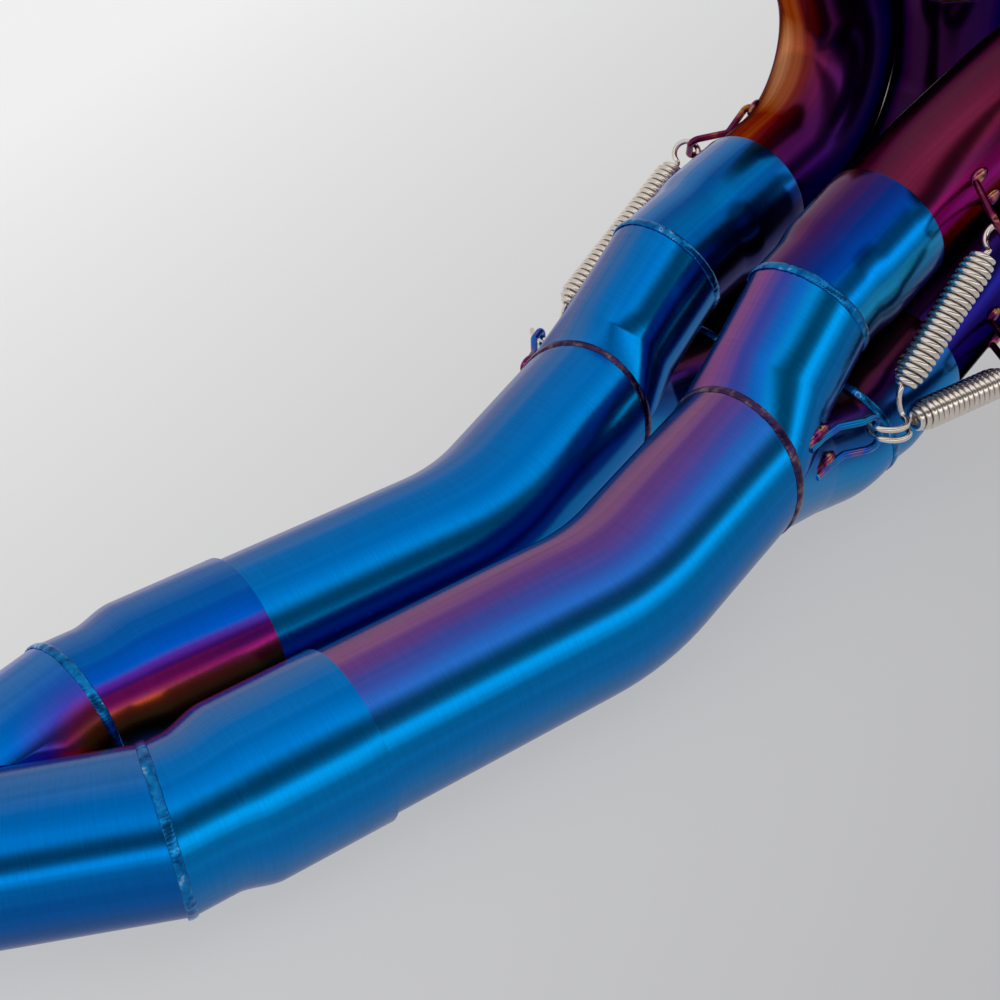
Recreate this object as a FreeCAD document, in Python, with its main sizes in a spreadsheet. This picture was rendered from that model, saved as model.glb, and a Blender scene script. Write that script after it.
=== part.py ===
import FreeCAD, Part
import math
import os
import Sketcher
from FreeCAD import Placement, Rotation, Vector

# Link section of a four-cylinder motorcycle exhaust: four header tube ends, two formed two-into-one
# pipes and the collector that joins them, with their weld beads, spring hooks and springs.
# The origin is the centre of the outlet's open end. +X runs forward along the near link pipe's
# lower run, +Y towards the far pipe and +Z up. Lengths are in millimetres and angles in degrees.

SIZES = {
    # tubes and sockets
    "link_od": (50.8, "outside of the two link pipes"),
    "header_od": (42.4, "outside of the header tubes and of the branch tubes"),
    "collector_od": (47.8, "outside of the two tubes that merge"),
    "outlet_od": (60.0, "outside of the outlet pipe"),
    "tube_wall": (1.5, "wall of every tube"),
    "socket_wall": (1.2, "wall of the expanded part of the sockets"),
    "slip_clearance": (0.15, "gap all round between a tube and its socket"),
    # outlet, merge and collector sockets
    "outlet_length": (62.0, "straight outlet pipe"),
    "cone_length": (44.0, "merge cone from two lobes to the round outlet"),
    "lobe_offset": (9.0, "half the distance between the tubes' axes at the cone's mouth"),
    "near_merge_angle": (27.8, "turn of the near collector tube in plan"),
    "far_merge_angle": (15.0, "turn of the far collector tube in plan"),
    "pipe_spacing": (62.3, "between the two link pipes' axes at the collector sockets"),
    "collector_socket_length": (57.0, "from the mouth to the mitre point"),
    "collector_grip": (37.0, "straight mouth of the socket"),
    "collector_taper": (8.0, "taper between mouth and neck"),
    "link_slip_depth": (34.0, "how far a link pipe goes into its socket"),
    # link pipes
    "link_bend_radius": (88.9, "centre line of the bend"),
    "near_straight": (78.0, "from the socket's mouth to the bend"),
    "near_bend": (18.9, "angle of the bend"),
    "near_lean": (55.8, "turn of the bend's plane from upright towards the far side"),
    "near_upper_run": (50.3, "from the bend to the upper end"),
    "near_cut_fall": (12.1, "downward tilt of the upper end's cut"),
    "near_cut_side": (2.7, "tilt of the upper end's cut towards the near side"),
    "far_straight": (69.0, "from the socket's mouth to the bend"),
    "far_bend": (22.2, "angle of the bend"),
    "far_lean": (62.6, "turn of the bend's plane from upright towards the far side"),
    "far_upper_run": (47.0, "from the bend to the upper end"),
    "far_cut_fall": (15.3, "downward tilt of the upper end's cut"),
    "far_cut_side": (-4.9, "tilt of the upper end's cut towards the near side"),
    "far_yaw": (2.1, "splay of the far pipe away from the near pipe"),
    "far_pitch": (-2.6, "rise of the far pipe going forward"),
    # branches and header sockets
    "mouth_run": (26.0, "length over which a branch's mouth turns from the link pipe's size to its own"),
    "near_reach": (48.4, "upper branch along the link pipe"),
    "near_rise": (25.8, "upper branch across the link pipe and up"),
    "near_side": (1.5, "upper branch towards the near side"),
    "near_yaw": (11.7, "direction of the near header sockets in plan"),
    "near_pitch": (16.0, "rise of the near header sockets"),
    "near_socket_length": (44.0, "near upper header socket"),
    "far_reach": (49.8, "upper branch along the link pipe"),
    "far_rise": (29.4, "upper branch across the link pipe and up"),
    "far_side": (10.6, "upper branch towards the near side"),
    "far_socket_yaw": (14.8, "direction of the far header sockets in plan"),
    "far_socket_pitch": (7.8, "rise of the far header sockets"),
    "far_socket_length": (51.5, "far upper header socket"),
    "socket_pitch": (50.0, "from an upper header socket's axis to the lower one's"),
    "lower_side": (1.0, "lower header socket towards the near side"),
    "lower_setback": (8.2, "lower header socket's mouth behind the upper one's"),
    "lower_socket_length": (36.5, "lower header sockets"),
    "branch_tangent": (7.0, "tangent length of the lower branch's bend"),
    "header_grip": (26.0, "straight mouth of a header socket"),
    "header_taper": (6.5, "taper between mouth and neck"),
    # header tubes
    "header_slip_depth": (23.0, "how far a header tube goes into its socket"),
    "header_end_run": (34.0, "straight free end of each header tube"),
    "near_header_lead": (5.0, "straight before the bend, near upper tube"),
    "near_header_radius": (63.6, "bends of the near header tubes"),
    "near_header_bend": (58.0, "angle of the near header tubes"),
    "near_header_lean": (51.0, "turn of their bends' plane towards the near side"),
    "near_lower_lead": (24.0, "straight before the bend, near lower tube"),
    "far_header_lead": (18.7, "straight before the bend, far upper tube"),
    "far_header_radius": (42.4, "bends of the far header tubes"),
    "far_header_bend": (104.0, "angle of the far upper header tube"),
    "far_header_lean": (5.0, "turn of its bend's plane towards the near side"),
    "far_lower_lead": (94.0, "straight before the bend, far lower tube"),
    "far_lower_bend": (87.0, "angle of the far lower header tube"),
    "far_lower_lean": (8.0, "turn of its bend's plane towards the near side"),
    # hooks, springs and weld beads
    "hook_wire": (2.5, "rod of the spring hooks"),
    "hook_width": (11.5, "between the two legs of a hook"),
    "hook_corner": (3.0, "bends of a hook's rod"),
    "hook_sink": (5.0, "how far a leg would go on below its foot"),
    "hook_low_line": (1.6, "from the surface up to the middle of a leg that lies along it"),
    "near_link_hook_station": (17.0, "from the near link pipe's end to its hook's feet"),
    "near_link_hook_depth": (23.0, "from that pipe's axis to its hook's feet"),
    "near_link_hook_drop": (5.0, "that hook below the pipe's axis"),
    "near_link_hook_turn": (0.0, "that hook's turn upward from level"),
    "far_link_hook_station": (8.5, "from the far link pipe's end to its hook's feet"),
    "far_link_hook_depth": (25.4, "from that pipe's axis to its hook's feet"),
    "far_link_hook_drop": (0.0, "that hook below the pipe's axis"),
    "far_link_hook_turn": (10.0, "that hook's turn upward from level"),
    "link_hook_knee": (13.0, "from a link hook's feet to where its legs rise"),
    "link_hook_reach": (19.0, "from a link hook's feet to its tip"),
    "link_hook_height": (7.0, "from a link hook's feet up to its tip"),
    "near_upper_hook_station": (31.0, "from the socket's mouth to the feet, along the tube"),
    "near_upper_hook_turn": (-8.0, "turn of the hook upward from level"),
    "near_lower_hook_station": (25.0, "from the socket's mouth to the feet, along the tube"),
    "near_lower_hook_turn": (-8.0, "turn of the hook upward from level"),
    "near_hook_reach": (13.0, "from the near header hooks' feet to their tips"),
    "near_hook_height": (18.0, "from the near header hooks' feet up to their tips"),
    "far_upper_hook_station": (32.0, "from the socket's mouth to the feet, along the tube"),
    "far_upper_hook_turn": (30.0, "turn of the hook upward from level"),
    "far_lower_hook_station": (28.0, "from the socket's mouth to the feet, along the tube"),
    "far_lower_hook_turn": (10.0, "turn of the hook upward from level"),
    "far_hook_knee": (14.0, "from the far header hooks' feet to where their legs rise"),
    "far_hook_reach": (24.0, "from the far header hooks' feet to their tips"),
    "far_hook_height": (11.0, "from the far header hooks' feet up to their tips"),
    "spring_wire": (2.0, "wire of the springs"),
    "spring_od": (10.8, "outside of a spring's coil"),
    "spring_inset": (1.3, "from a coil's outside in to the wire that leaves it"),
    "spring_loop": (4.2, "radius of the wire's line in an end loop"),
    "spring_link_neck": (9.5, "from the link hook's loop to the coil"),
    "spring_header_neck": (2.5, "from a header hook's loop to the coil"),
    "spring_offset": (2.6, "each spring's loop off the middle of a shared hook"),
    "bead_width": (3.4, "weld bead, along the tube"),
    "bead_height": (0.9, "weld bead above the tube"),
}

doc = FreeCAD.newDocument("exhaust_link_section")
sheet = doc.addObject("Spreadsheet::Sheet", "sizes")
for row, (name, (number, note)) in enumerate(SIZES.items(), 1):
    sheet.set(f"A{row}", name)
    sheet.set(f"B{row}", str(number))
    sheet.setAlias(f"B{row}", name)
    sheet.set(f"C{row}", note)
doc.recompute()

pieces = {}


def size(name):
    return float(sheet.get(name))


def radius_of(name):
    return size(name) / 2


def unit(vector):
    return Vector(vector) / Vector(vector).Length


def across(vector, axis):
    """The part of a vector that is square to an axis, made one long."""
    return unit(vector - axis * vector.dot(axis))


def heading(yaw, pitch):
    yaw, pitch = math.radians(yaw), math.radians(pitch)
    return Vector(math.cos(pitch) * math.cos(yaw), math.cos(pitch) * math.sin(yaw), math.sin(pitch))


def up_and_side(axis):
    """Upward and towards the near side, both square to a forward axis."""
    side = unit(axis.cross(Vector(0, 0, 1)))
    return side.cross(axis), side


def leaning(axis, lean):
    """Upward from an axis, turned towards the near side by an angle."""
    up, side = up_and_side(axis)
    return up * math.cos(math.radians(lean)) + side * math.sin(math.radians(lean))


def seat(origin, z_axis, x_axis):
    """Placement whose local Z and X run along the two given directions."""
    return Placement(origin, Rotation(x_axis, Vector(), z_axis, "ZXY"))


def keep(item, label):
    item.Label = label
    pieces[label] = item
    return item


# Bodies made of sketches

def new_sketch(body, role, name):
    sketch = body.newObject("Sketcher::SketchObject", name)
    plane = next(feature for feature in body.Origin.OriginFeatures if feature.Role == role)
    sketch.AttachmentSupport = (plane, [""])
    sketch.MapMode = "FlatFace"
    return sketch


def amount(expression):
    """Number that an expression over the sheet's cells gives."""
    return float(sheet.evalExpression(expression.replace("sizes.", "")))


def bound(sketch, constraint, expression):
    sketch.setExpression(f"Constraints[{sketch.addConstraint(constraint)}]", expression)


def ring_sketch(body, outer):
    """Section of a tube: two circles on the body's axis."""
    sketch = new_sketch(body, "XY_Plane", "section")
    for expression in (f"sizes.{outer} / 2", f"sizes.{outer} / 2 - sizes.tube_wall"):
        circle = sketch.addGeometry(Part.Circle(Vector(), Vector(0, 0, 1), amount(expression)))
        sketch.addConstraint(Sketcher.Constraint("Coincident", circle, 3, -1, 1))
        bound(sketch, Sketcher.Constraint("Radius", circle, amount(expression)), expression)
    return sketch


def straight_tube(label, place, outer, length):
    body = doc.addObject("PartDesign::Body", label + "_body")
    section = ring_sketch(body, outer)
    pad = body.newObject("PartDesign::Pad", "wall")
    pad.Profile = section
    pad.setExpression("Length", length)
    body.Placement = place
    return body


def bent_tube(label, place, outer, first, radius, angle, last):
    """Tube along local Z that bends once towards local X: first run, bend, last run."""
    body = doc.addObject("PartDesign::Body", label + "_body")
    section = ring_sketch(body, outer)
    path = new_sketch(body, "XZ_Plane", "centre_line")
    run, bend, turn, end = amount(first), amount(radius), math.radians(amount(angle)), amount(last)
    leave = Vector(bend * (1 - math.cos(turn)), run + bend * math.sin(turn), 0)
    finish = leave + Vector(math.sin(turn), math.cos(turn), 0) * end
    circle = Part.Circle(Vector(bend, run, 0), Vector(0, 0, 1), bend)
    path.addGeometry(Part.LineSegment(Vector(), Vector(0, run, 0)))
    path.addGeometry(Part.ArcOfCircle(circle, math.pi - turn, math.pi))
    path.addGeometry(Part.LineSegment(leave, finish))
    path.addConstraint(Sketcher.Constraint("Coincident", 0, 1, -1, 1))
    path.addConstraint(Sketcher.Constraint("Vertical", 0))
    path.addConstraint(Sketcher.Constraint("Tangent", 0, 2, 1, 2))
    path.addConstraint(Sketcher.Constraint("Tangent", 1, 1, 2, 1))
    bound(path, Sketcher.Constraint("Distance", 0, run), first)
    bound(path, Sketcher.Constraint("Radius", 1, bend), radius)
    bound(path, Sketcher.Constraint("Angle", 1, turn), f"({angle}) * 1 deg")
    bound(path, Sketcher.Constraint("Distance", 2, end), last)
    sweep = body.newObject("PartDesign::AdditivePipe", "wall")
    sweep.Profile = section
    sweep.Spine = (path, ["Edge1", "Edge2", "Edge3"])
    body.Placement = place
    return body


def socket(label, place, tube_od, neck_od, grip, taper, length, spare):
    """Expanded slip socket along local Z, with spare neck behind its origin to be cut to a mitre."""
    body = doc.addObject("PartDesign::Body", label + "_body")
    sketch = new_sketch(body, "XZ_Plane", "half_section")
    bore = f"sizes.{tube_od} / 2 + sizes.slip_clearance"
    neck = f"sizes.{neck_od} / 2"
    top = f"{length} + {spare}"
    corners = [
        (neck, "0"),
        (neck, f"{top} - sizes.{grip} - sizes.{taper}"),
        (f"{bore} + sizes.socket_wall", f"{top} - sizes.{grip}"),
        (f"{bore} + sizes.socket_wall", top),
        (bore, top),
        (bore, f"{top} - sizes.{grip}"),
        (f"{neck} - sizes.tube_wall", f"{top} - sizes.{grip} - sizes.{taper}"),
        (f"{neck} - sizes.tube_wall", "0"),
    ]
    points = [Vector(amount(x), amount(y), 0) for x, y in corners]
    count = len(corners)
    for index in range(count):
        sketch.addGeometry(Part.LineSegment(points[index], points[(index + 1) % count]))
    for index in range(count):
        sketch.addConstraint(Sketcher.Constraint("Coincident", index, 2, (index + 1) % count, 1))
    for index, (x, y) in enumerate(corners):
        bound(sketch, Sketcher.Constraint("DistanceX", -1, 1, index, 1, points[index].x), x)
        if y == "0":
            sketch.addConstraint(Sketcher.Constraint("PointOnObject", index, 1, -1))
        else:
            bound(sketch, Sketcher.Constraint("DistanceY", -1, 1, index, 1, points[index].y), y)
    turn = body.newObject("PartDesign::Revolution", "wall")
    turn.Profile = sketch
    turn.ReferenceAxis = (sketch, ["V_Axis"])
    turn.Angle = 360
    body.Placement = place * Placement(Vector(0, 0, -amount(spare)), Rotation())
    return body


def trimmed(label, base, planes):
    """Cuts away all that lies beyond each plane, given as a point and an outward normal."""
    for number, (point, normal) in enumerate(planes, 1):
        block = doc.addObject("Part::Box", f"{label}_block_{number}")
        for side in ("Length", "Width", "Height"):
            block.setExpression(side, TRIM_BLOCK)
        hint = across(Vector(0, 0, 1) if abs(normal.z) < 0.9 else Vector(1, 0, 0), normal)
        half = amount(TRIM_BLOCK) / 2
        block.Placement = seat(point, normal, hint) * Placement(Vector(-half, -half, 0), Rotation())
        cut = doc.addObject("Part::Cut", f"{label}_cut_{number}")
        cut.Base = base
        cut.Tool = block
        base = cut
    return base


TRIM_BLOCK = "6 * sizes.link_od"


# Shapes that follow no single sketch

def feature(label, shape):
    item = doc.addObject("Part::Feature", label)
    item.Shape = shape
    return keep(item, label)


def on_cut(center, axis, normal, radius, direction):
    """Point of a round tube's oblique end, straight out from the axis in a direction."""
    point = center + across(direction, axis) * radius
    return point + axis * ((center - point).dot(normal) / axis.dot(normal))


def end_ring(center, axis, normal, radius, up, side):
    """Outline of a tube's end, square or oblique, in two arcs that part at its two sides."""
    left, top, right, bottom = (
        on_cut(center, axis, normal, radius, way) for way in (side, up, side * -1, up * -1)
    )
    if axis.cross(normal).Length < 1e-6:
        return Part.Wire([Part.Arc(left, top, right).toShape(), Part.Arc(right, bottom, left).toShape()])
    major = across(axis - normal * axis.dot(normal), normal) * (radius / abs(axis.dot(normal)))
    minor = across(normal.cross(major), normal) * radius
    ellipse = Part.Ellipse(center + major, center + minor, center)
    arcs = []
    for start, middle, end in ((left, top, right), (right, bottom, left)):
        first, between, last = (ellipse.parameter(point) for point in (start, middle, end))
        if (between - first) % (2 * math.pi) > (last - first) % (2 * math.pi):
            first, last = last, first
        arcs.append(Part.ArcOfEllipse(ellipse, first, first + (last - first) % (2 * math.pi)).toShape())
    return Part.Wire(arcs)


def hollow(outer, inner):
    return outer.cut(inner).removeSplitter()


def largest(shape):
    return max(shape.Solids, key=lambda solid: solid.Volume)


def below_plane(shape, point, normal):
    """What lies behind a plane."""
    reach = shape.BoundBox.DiagonalLength * 2
    plane = Part.Face(Part.Wire(Part.Circle(point, normal, reach).toShape()))
    return shape.cut(plane.extrude(normal * reach))


def bar(start, along, length, radius):
    return Part.makeCylinder(radius, length, start, along)


def elbow(corner, into, out, tangent, radius):
    """Round bar that turns about a corner from one direction to another."""
    turn = math.acos(max(-1.0, min(1.0, into.dot(out))))
    inward = across(out, into)
    start = corner - into * tangent
    hub = start + inward * (tangent / math.tan(turn / 2))
    disc = Part.Face(Part.Wire(Part.Circle(start, into, radius).toShape()))
    return disc.revolve(hub, into.cross(inward), math.degrees(turn))


def rounded_path(points, radius):
    """Straight runs joined by tangent arcs of one radius."""
    edges = []
    here = points[0]
    for before, corner, after in zip(points, points[1:], points[2:]):
        into, out = unit(corner - before), unit(after - corner)
        turn = math.acos(into.dot(out))
        reach = radius * math.tan(turn / 2)
        start, end = corner - into * reach, corner + out * reach
        middle = corner + unit(out - into) * (radius / math.cos(turn / 2) - radius)
        edges += [Part.LineSegment(here, start).toShape(), Part.Arc(start, middle, end).toShape()]
        here = end
    edges.append(Part.LineSegment(here, points[-1]).toShape())
    return Part.Wire(edges)


def rod(path, radius):
    start = path.Edges[0].valueAt(path.Edges[0].FirstParameter)
    along = path.Edges[0].tangentAt(path.Edges[0].FirstParameter)
    ring = Part.Wire(Part.Circle(start, along, radius).toShape())
    return path.makePipeShell([ring], True, False)


def clear_of(shape, labels):
    """What is left of a bead or rod outside the pieces that it is welded to."""
    for label in labels:
        shape = shape.cut(pieces[label].Shape)
    return largest(shape)


def band(center, way, cut, radius, width):
    """Flat ring on a tube's surface, from an oblique cut back by a width."""
    height = size("bead_height")
    reach = radius * 4
    sleeve = bar(center - way * reach, way, 2 * reach, radius + height)
    sleeve = sleeve.cut(bar(center - way * reach, way, 2 * reach, radius))
    sleeve = below_plane(sleeve, center, cut)
    return below_plane(sleeve, center - cut * width, cut * -1)


def bead(label, halves):
    """Weld bead laid over a joint: one half on each of the tubes that meet there."""
    shape = halves[0].fuse(halves[1:]).removeSplitter()
    feature(label, largest(shape))


# Places along the collector

near_axis, far_axis = Vector(1, 0, 0), heading(size("far_yaw"), size("far_pitch"))
pipe_axes = {"near": near_axis, "far": far_axis}
socket_mouths = {"near": Vector(), "far": Vector(0, size("pipe_spacing"), 0)}
rearward = {
    "near": heading(180 - size("near_merge_angle"), 0),
    "far": heading(180 + size("far_merge_angle"), 0),
}
mitres = {side: socket_mouths[side] - pipe_axes[side] * size("collector_socket_length") for side in pipe_axes}
outlet_axis = unit(rearward["near"] + rearward["far"])
half_merge = math.acos(outlet_axis.dot(rearward["near"]))

# where the two tubes' axes meet in plan
spread = mitres["far"] - mitres["near"]
turn_between = rearward["near"].cross(rearward["far"]).z
along_near = spread.cross(rearward["far"]).z / turn_between
meeting = mitres["near"] + rearward["near"] * along_near
cone_mouth = meeting - outlet_axis * (size("lobe_offset") / math.tan(half_merge))
outlet_start = cone_mouth + outlet_axis * size("cone_length")

# each tube's axis runs from its mitre to its lobe at the cone's mouth, so the far one falls a little
lobe_centers = {side: meeting - way * (size("lobe_offset") / math.sin(half_merge)) for side, way in rearward.items()}
rearward = {side: unit(lobe_centers[side] - mitres[side]) for side in pipe_axes}
outlet_end = outlet_start + outlet_axis * size("outlet_length")

# everything moves so that the outlet's end is the origin
cone_mouth, outlet_start, meeting = (point - outlet_end for point in (cone_mouth, outlet_start, meeting))
socket_mouths = {side: point - outlet_end for side, point in socket_mouths.items()}
mitres = {side: point - outlet_end for side, point in mitres.items()}
upward = Vector(0, 0, 1)
outlet_side = upward.cross(outlet_axis)


# Outlet pipe and merge cone

outlet_forward = outlet_axis * -1
keep(straight_tube("outlet_pipe", seat(Vector(), outlet_forward, upward), "outlet_od", "sizes.outlet_length"),
     "outlet_pipe")


def lobes(point, half_gap, radius):
    """Outline round two overlapping circles that stand side by side, in four arcs."""
    waist = math.sqrt(radius ** 2 - half_gap ** 2)
    arcs = []
    for sign in (1, -1):
        middle = point + outlet_side * (sign * half_gap)
        tip = middle + outlet_side * (sign * radius)
        arcs.append(Part.Arc(point + upward * (sign * waist), tip, point - upward * (sign * waist)).toShape())
    return Part.Wire(arcs)


def cone(inset):
    """Merge cone, from the two tubes' outline to the outlet's."""
    mouth = lobes(cone_mouth, size("lobe_offset") / math.cos(half_merge), radius_of("collector_od") - inset)
    radius = radius_of("outlet_od") - inset
    top, bottom = outlet_start + upward * radius, outlet_start - upward * radius
    exit_ring = Part.Wire([
        Part.Arc(top, outlet_start + outlet_side * radius, bottom).toShape(),
        Part.Arc(bottom, outlet_start - outlet_side * radius, top).toShape(),
    ])
    return Part.makeLoft([mouth, exit_ring], True, True)


feature("merge_cone", hollow(cone(0), cone(size("tube_wall"))))


# Collector tubes and sockets

for side in pipe_axes:
    run = rearward[side] * -1
    outward = -1 if side == "near" else 1
    label = f"{side}_collector_tube"
    start = mitres[side] - run * ((meeting - mitres[side]).Length + size("collector_od"))
    tube = straight_tube(label, seat(start, run, upward), "collector_od", "sizes.collector_od * 5")
    mitre_normal = unit(run + pipe_axes[side])
    planes = [
        (mitres[side], mitre_normal),
        (cone_mouth, outlet_axis),
        (meeting, outlet_side * (-1 if side == "near" else 1)),
    ]
    keep(trimmed(label, tube, planes), label)
    label = f"{side}_collector_socket"
    sleeve = socket(label, seat(mitres[side], pipe_axes[side], upward), "link_od", "collector_od",
                    "collector_grip", "collector_taper", "sizes.collector_socket_length", "sizes.collector_od / 2")
    keep(trimmed(label, sleeve, [(mitres[side], mitre_normal * -1)]), label)
    half = size("bead_width") / 2
    bead(f"{side}_collector_bead", [
        band(mitres[side], run, mitre_normal, radius_of("collector_od"), half),
        band(mitres[side], pipe_axes[side] * -1, mitre_normal * -1, radius_of("collector_od"), half),
    ])


# Link pipes, with their branches and header sockets

def branch_mouth(end, axis, cut, up, side, center, way, inset):
    """Formed mouth: the link pipe's whole outline drawn over to the branch's own circle."""
    first = end_ring(end, axis, cut, radius_of("link_od") - inset, up, side)
    last = end_ring(center, way, way, radius_of("header_od") - inset, up, side)
    return Part.makeLoft([first, last], True, True)


header_mouths = {}
header_axes = {}
link_ends = {}
for side in pipe_axes:
    axis = pipe_axes[side]
    slip, straight, radius = size("link_slip_depth"), size(f"{side}_straight"), size("link_bend_radius")
    turn = math.radians(size(f"{side}_bend"))
    inward = leaning(axis, -size(f"{side}_lean"))
    leave = socket_mouths[side] + axis * (straight + radius * math.sin(turn)) + inward * (radius * (1 - math.cos(turn)))
    along = axis * math.cos(turn) + inward * math.sin(turn)
    end = leave + along * size(f"{side}_upper_run")
    up, across_side = up_and_side(along)
    cut = unit(along - up * math.tan(math.radians(size(f"{side}_cut_fall")))
               + across_side * math.tan(math.radians(size(f"{side}_cut_side"))))
    link_ends[side] = (end, along, up, across_side)

    label = f"{side}_link_pipe"
    pipe = bent_tube(label, seat(socket_mouths[side] - axis * slip, axis, inward), "link_od",
                     f"sizes.link_slip_depth + sizes.{side}_straight", "sizes.link_bend_radius",
                     f"sizes.{side}_bend", f"sizes.{side}_upper_run + sizes.link_od / 2")
    keep(trimmed(label, pipe, [(end, cut)]), label)

    # axes of the branches and sockets
    prefix = "near" if side == "near" else "far_socket"
    header_axis = heading(size(f"{prefix}_yaw"), size(f"{prefix}_pitch"))
    socket_up, socket_side = up_and_side(header_axis)
    lift = up * (radius_of("link_od") - radius_of("header_od"))
    upper_corner = (end + along * size(f"{side}_reach") + up * size(f"{side}_rise")
                    + across_side * size(f"{side}_side"))
    upper_mouth = upper_corner + header_axis * size(f"{side}_socket_length")
    lower_mouth = (upper_mouth - socket_up * size("socket_pitch") + socket_side * size("lower_side")
                   - header_axis * size("lower_setback"))
    lower_weld = lower_mouth - header_axis * size("lower_socket_length")
    lower_corner = lower_weld - header_axis * size("branch_tangent")
    upper_way = unit(upper_corner - end - lift)
    lower_way = unit(lower_corner - end + lift)
    header_mouths[side] = {"upper": upper_mouth, "lower": lower_mouth}
    header_axes[side] = header_axis
    divide = unit(upper_way - lower_way)

    # the upper branch is straight and mitred, the lower one bends into its socket
    run, tangent = size("mouth_run"), size("branch_tangent")
    mitre_normal = unit(upper_way + header_axis)
    for level, start, way, corner in (
        ("upper", end + lift, upper_way, upper_corner), ("lower", end - lift, lower_way, lower_corner)
    ):
        walls = []
        for inset in (0, size("tube_wall")):
            outline = radius_of("header_od") - inset
            shape = branch_mouth(end, along, cut, up, across_side, start + way * run, way, inset)
            length = (corner - start).Length - run
            if level == "upper":
                shape = shape.fuse(bar(start + way * run, way, length + radius_of("header_od"), outline))
            else:
                shape = shape.fuse([
                    bar(start + way * run, way, length - tangent, outline),
                    elbow(corner, way, header_axis, tangent, outline),
                ])
            walls.append(shape)
        wall = hollow(*walls)
        if level == "upper":
            wall = below_plane(wall, corner, mitre_normal)
        wall = below_plane(wall, end, divide * (-1 if level == "upper" else 1))
        feature(f"{side}_{level}_branch", largest(wall))

    label = f"{side}_upper_socket"
    sleeve = socket(label, seat(upper_corner, header_axis, socket_up), "header_od", "header_od", "header_grip",
                    "header_taper", f"sizes.{side}_socket_length", "sizes.header_od / 2")
    keep(trimmed(label, sleeve, [(upper_corner, mitre_normal * -1)]), label)
    half = size("bead_width") / 2
    bead(f"{side}_upper_bead", [
        band(upper_corner, upper_way, mitre_normal, radius_of("header_od"), half),
        band(upper_corner, header_axis * -1, mitre_normal * -1, radius_of("header_od"), half),
    ])
    bead(f"{side}_lower_bead", [band(lower_weld, header_axis, header_axis * -1, radius_of("header_od"),
                                     size("bead_width"))])
    bead(f"{side}_mouth_bead", [band(end, along, cut, radius_of("link_od"), size("bead_width"))])
    label = f"{side}_lower_socket"
    keep(socket(label, seat(lower_weld, header_axis, socket_up), "header_od", "header_od", "header_grip",
                "header_taper", "sizes.lower_socket_length", "0"), label)

doc.recompute()


# Header tubes, each bent once and left with a plain open end

header_bends = {}
for side in pipe_axes:
    for level in ("upper", "lower"):
        lead = f"{side}_header_lead" if level == "upper" else f"{side}_lower_lead"
        own = "lower" if (side, level) == ("far", "lower") else "header"
        axis = header_axes[side]
        inward = leaning(axis, size(f"{side}_{own}_lean"))
        label = f"{side}_{level}_header"
        header_bends[label] = (header_mouths[side][level], axis, inward, size(lead), size(f"{side}_header_radius"))
        place = seat(header_mouths[side][level] - axis * size("header_slip_depth"), axis, inward)
        keep(bent_tube(label, place, "header_od", f"sizes.header_slip_depth + sizes.{lead}",
                       f"sizes.{side}_header_radius", f"sizes.{side}_{own}_bend", "sizes.header_end_run"), label)

doc.recompute()


# Spring hooks, bent from one rod and welded down by both ends

def turned_outward(axis, side, turn):
    """Away from the pipe pair's middle, turned upward by an angle; and the direction across it."""
    up, across_side = up_and_side(axis)
    level_way = across_side * (1 if side == "near" else -1)
    angle = math.radians(turn)
    return level_way * math.cos(angle) + up * math.sin(angle), up * math.cos(angle) - level_way * math.sin(angle)


def hook(label, foot, along, outward, aside, joined, leg):
    """Hook whose two legs follow a line of (distance along, height) and are joined at its far end."""
    half = size("hook_width") / 2
    line = [foot + along * distance + outward * height for distance, height in leg]
    path = rounded_path([point + aside * half for point in line]
                        + [point - aside * half for point in reversed(line)], size("hook_corner"))
    feature(label, clear_of(rod(path, radius_of("hook_wire")), joined))
    return line[-1], aside


def on_header(label, distance):
    """Place and direction on a header tube's axis at a distance beyond its socket's mouth."""
    mouth, axis, inward, lead, radius = header_bends[label]
    if distance <= lead:
        return mouth + axis * distance, axis
    angle = (distance - lead) / radius
    center = mouth + axis * (lead + radius * math.sin(angle)) + inward * (radius * (1 - math.cos(angle)))
    return center, axis * math.cos(angle) + inward * math.sin(angle)


below, low = -size("hook_sink"), size("hook_low_line")
tips = {}
for side in pipe_axes:
    end, along, up, across_side = link_ends[side]
    outward, aside = turned_outward(along, side, size(f"{side}_link_hook_turn"))
    foot = (end + along * size(f"{side}_link_hook_station") + outward * size(f"{side}_link_hook_depth")
            - up * size(f"{side}_link_hook_drop"))
    leg = [(0, below), (0, low), (size("link_hook_knee"), low), (size("link_hook_reach"), size("link_hook_height"))]
    tips[side] = hook(f"{side}_link_hook", foot, along, outward, aside,
                      [f"{side}_link_pipe", f"{side}_upper_branch", f"{side}_lower_branch"], leg)
    for level in ("upper", "lower"):
        label = f"{side}_{level}_header"
        center, way = on_header(label, size(f"{side}_{level}_hook_station"))
        outward, aside = turned_outward(way, side, size(f"{side}_{level}_hook_turn"))
        leg = [(0, below), (size(f"{side}_hook_reach"), size(f"{side}_hook_height"))]
        if side == "far":
            leg[1:1] = [(0, low), (size("far_hook_knee"), low)]
        tips[label] = hook(label + "_hook", center + outward * radius_of("header_od"), way * -1, outward, aside,
                           [label], leg)


# Springs, hooked over the tips

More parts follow.
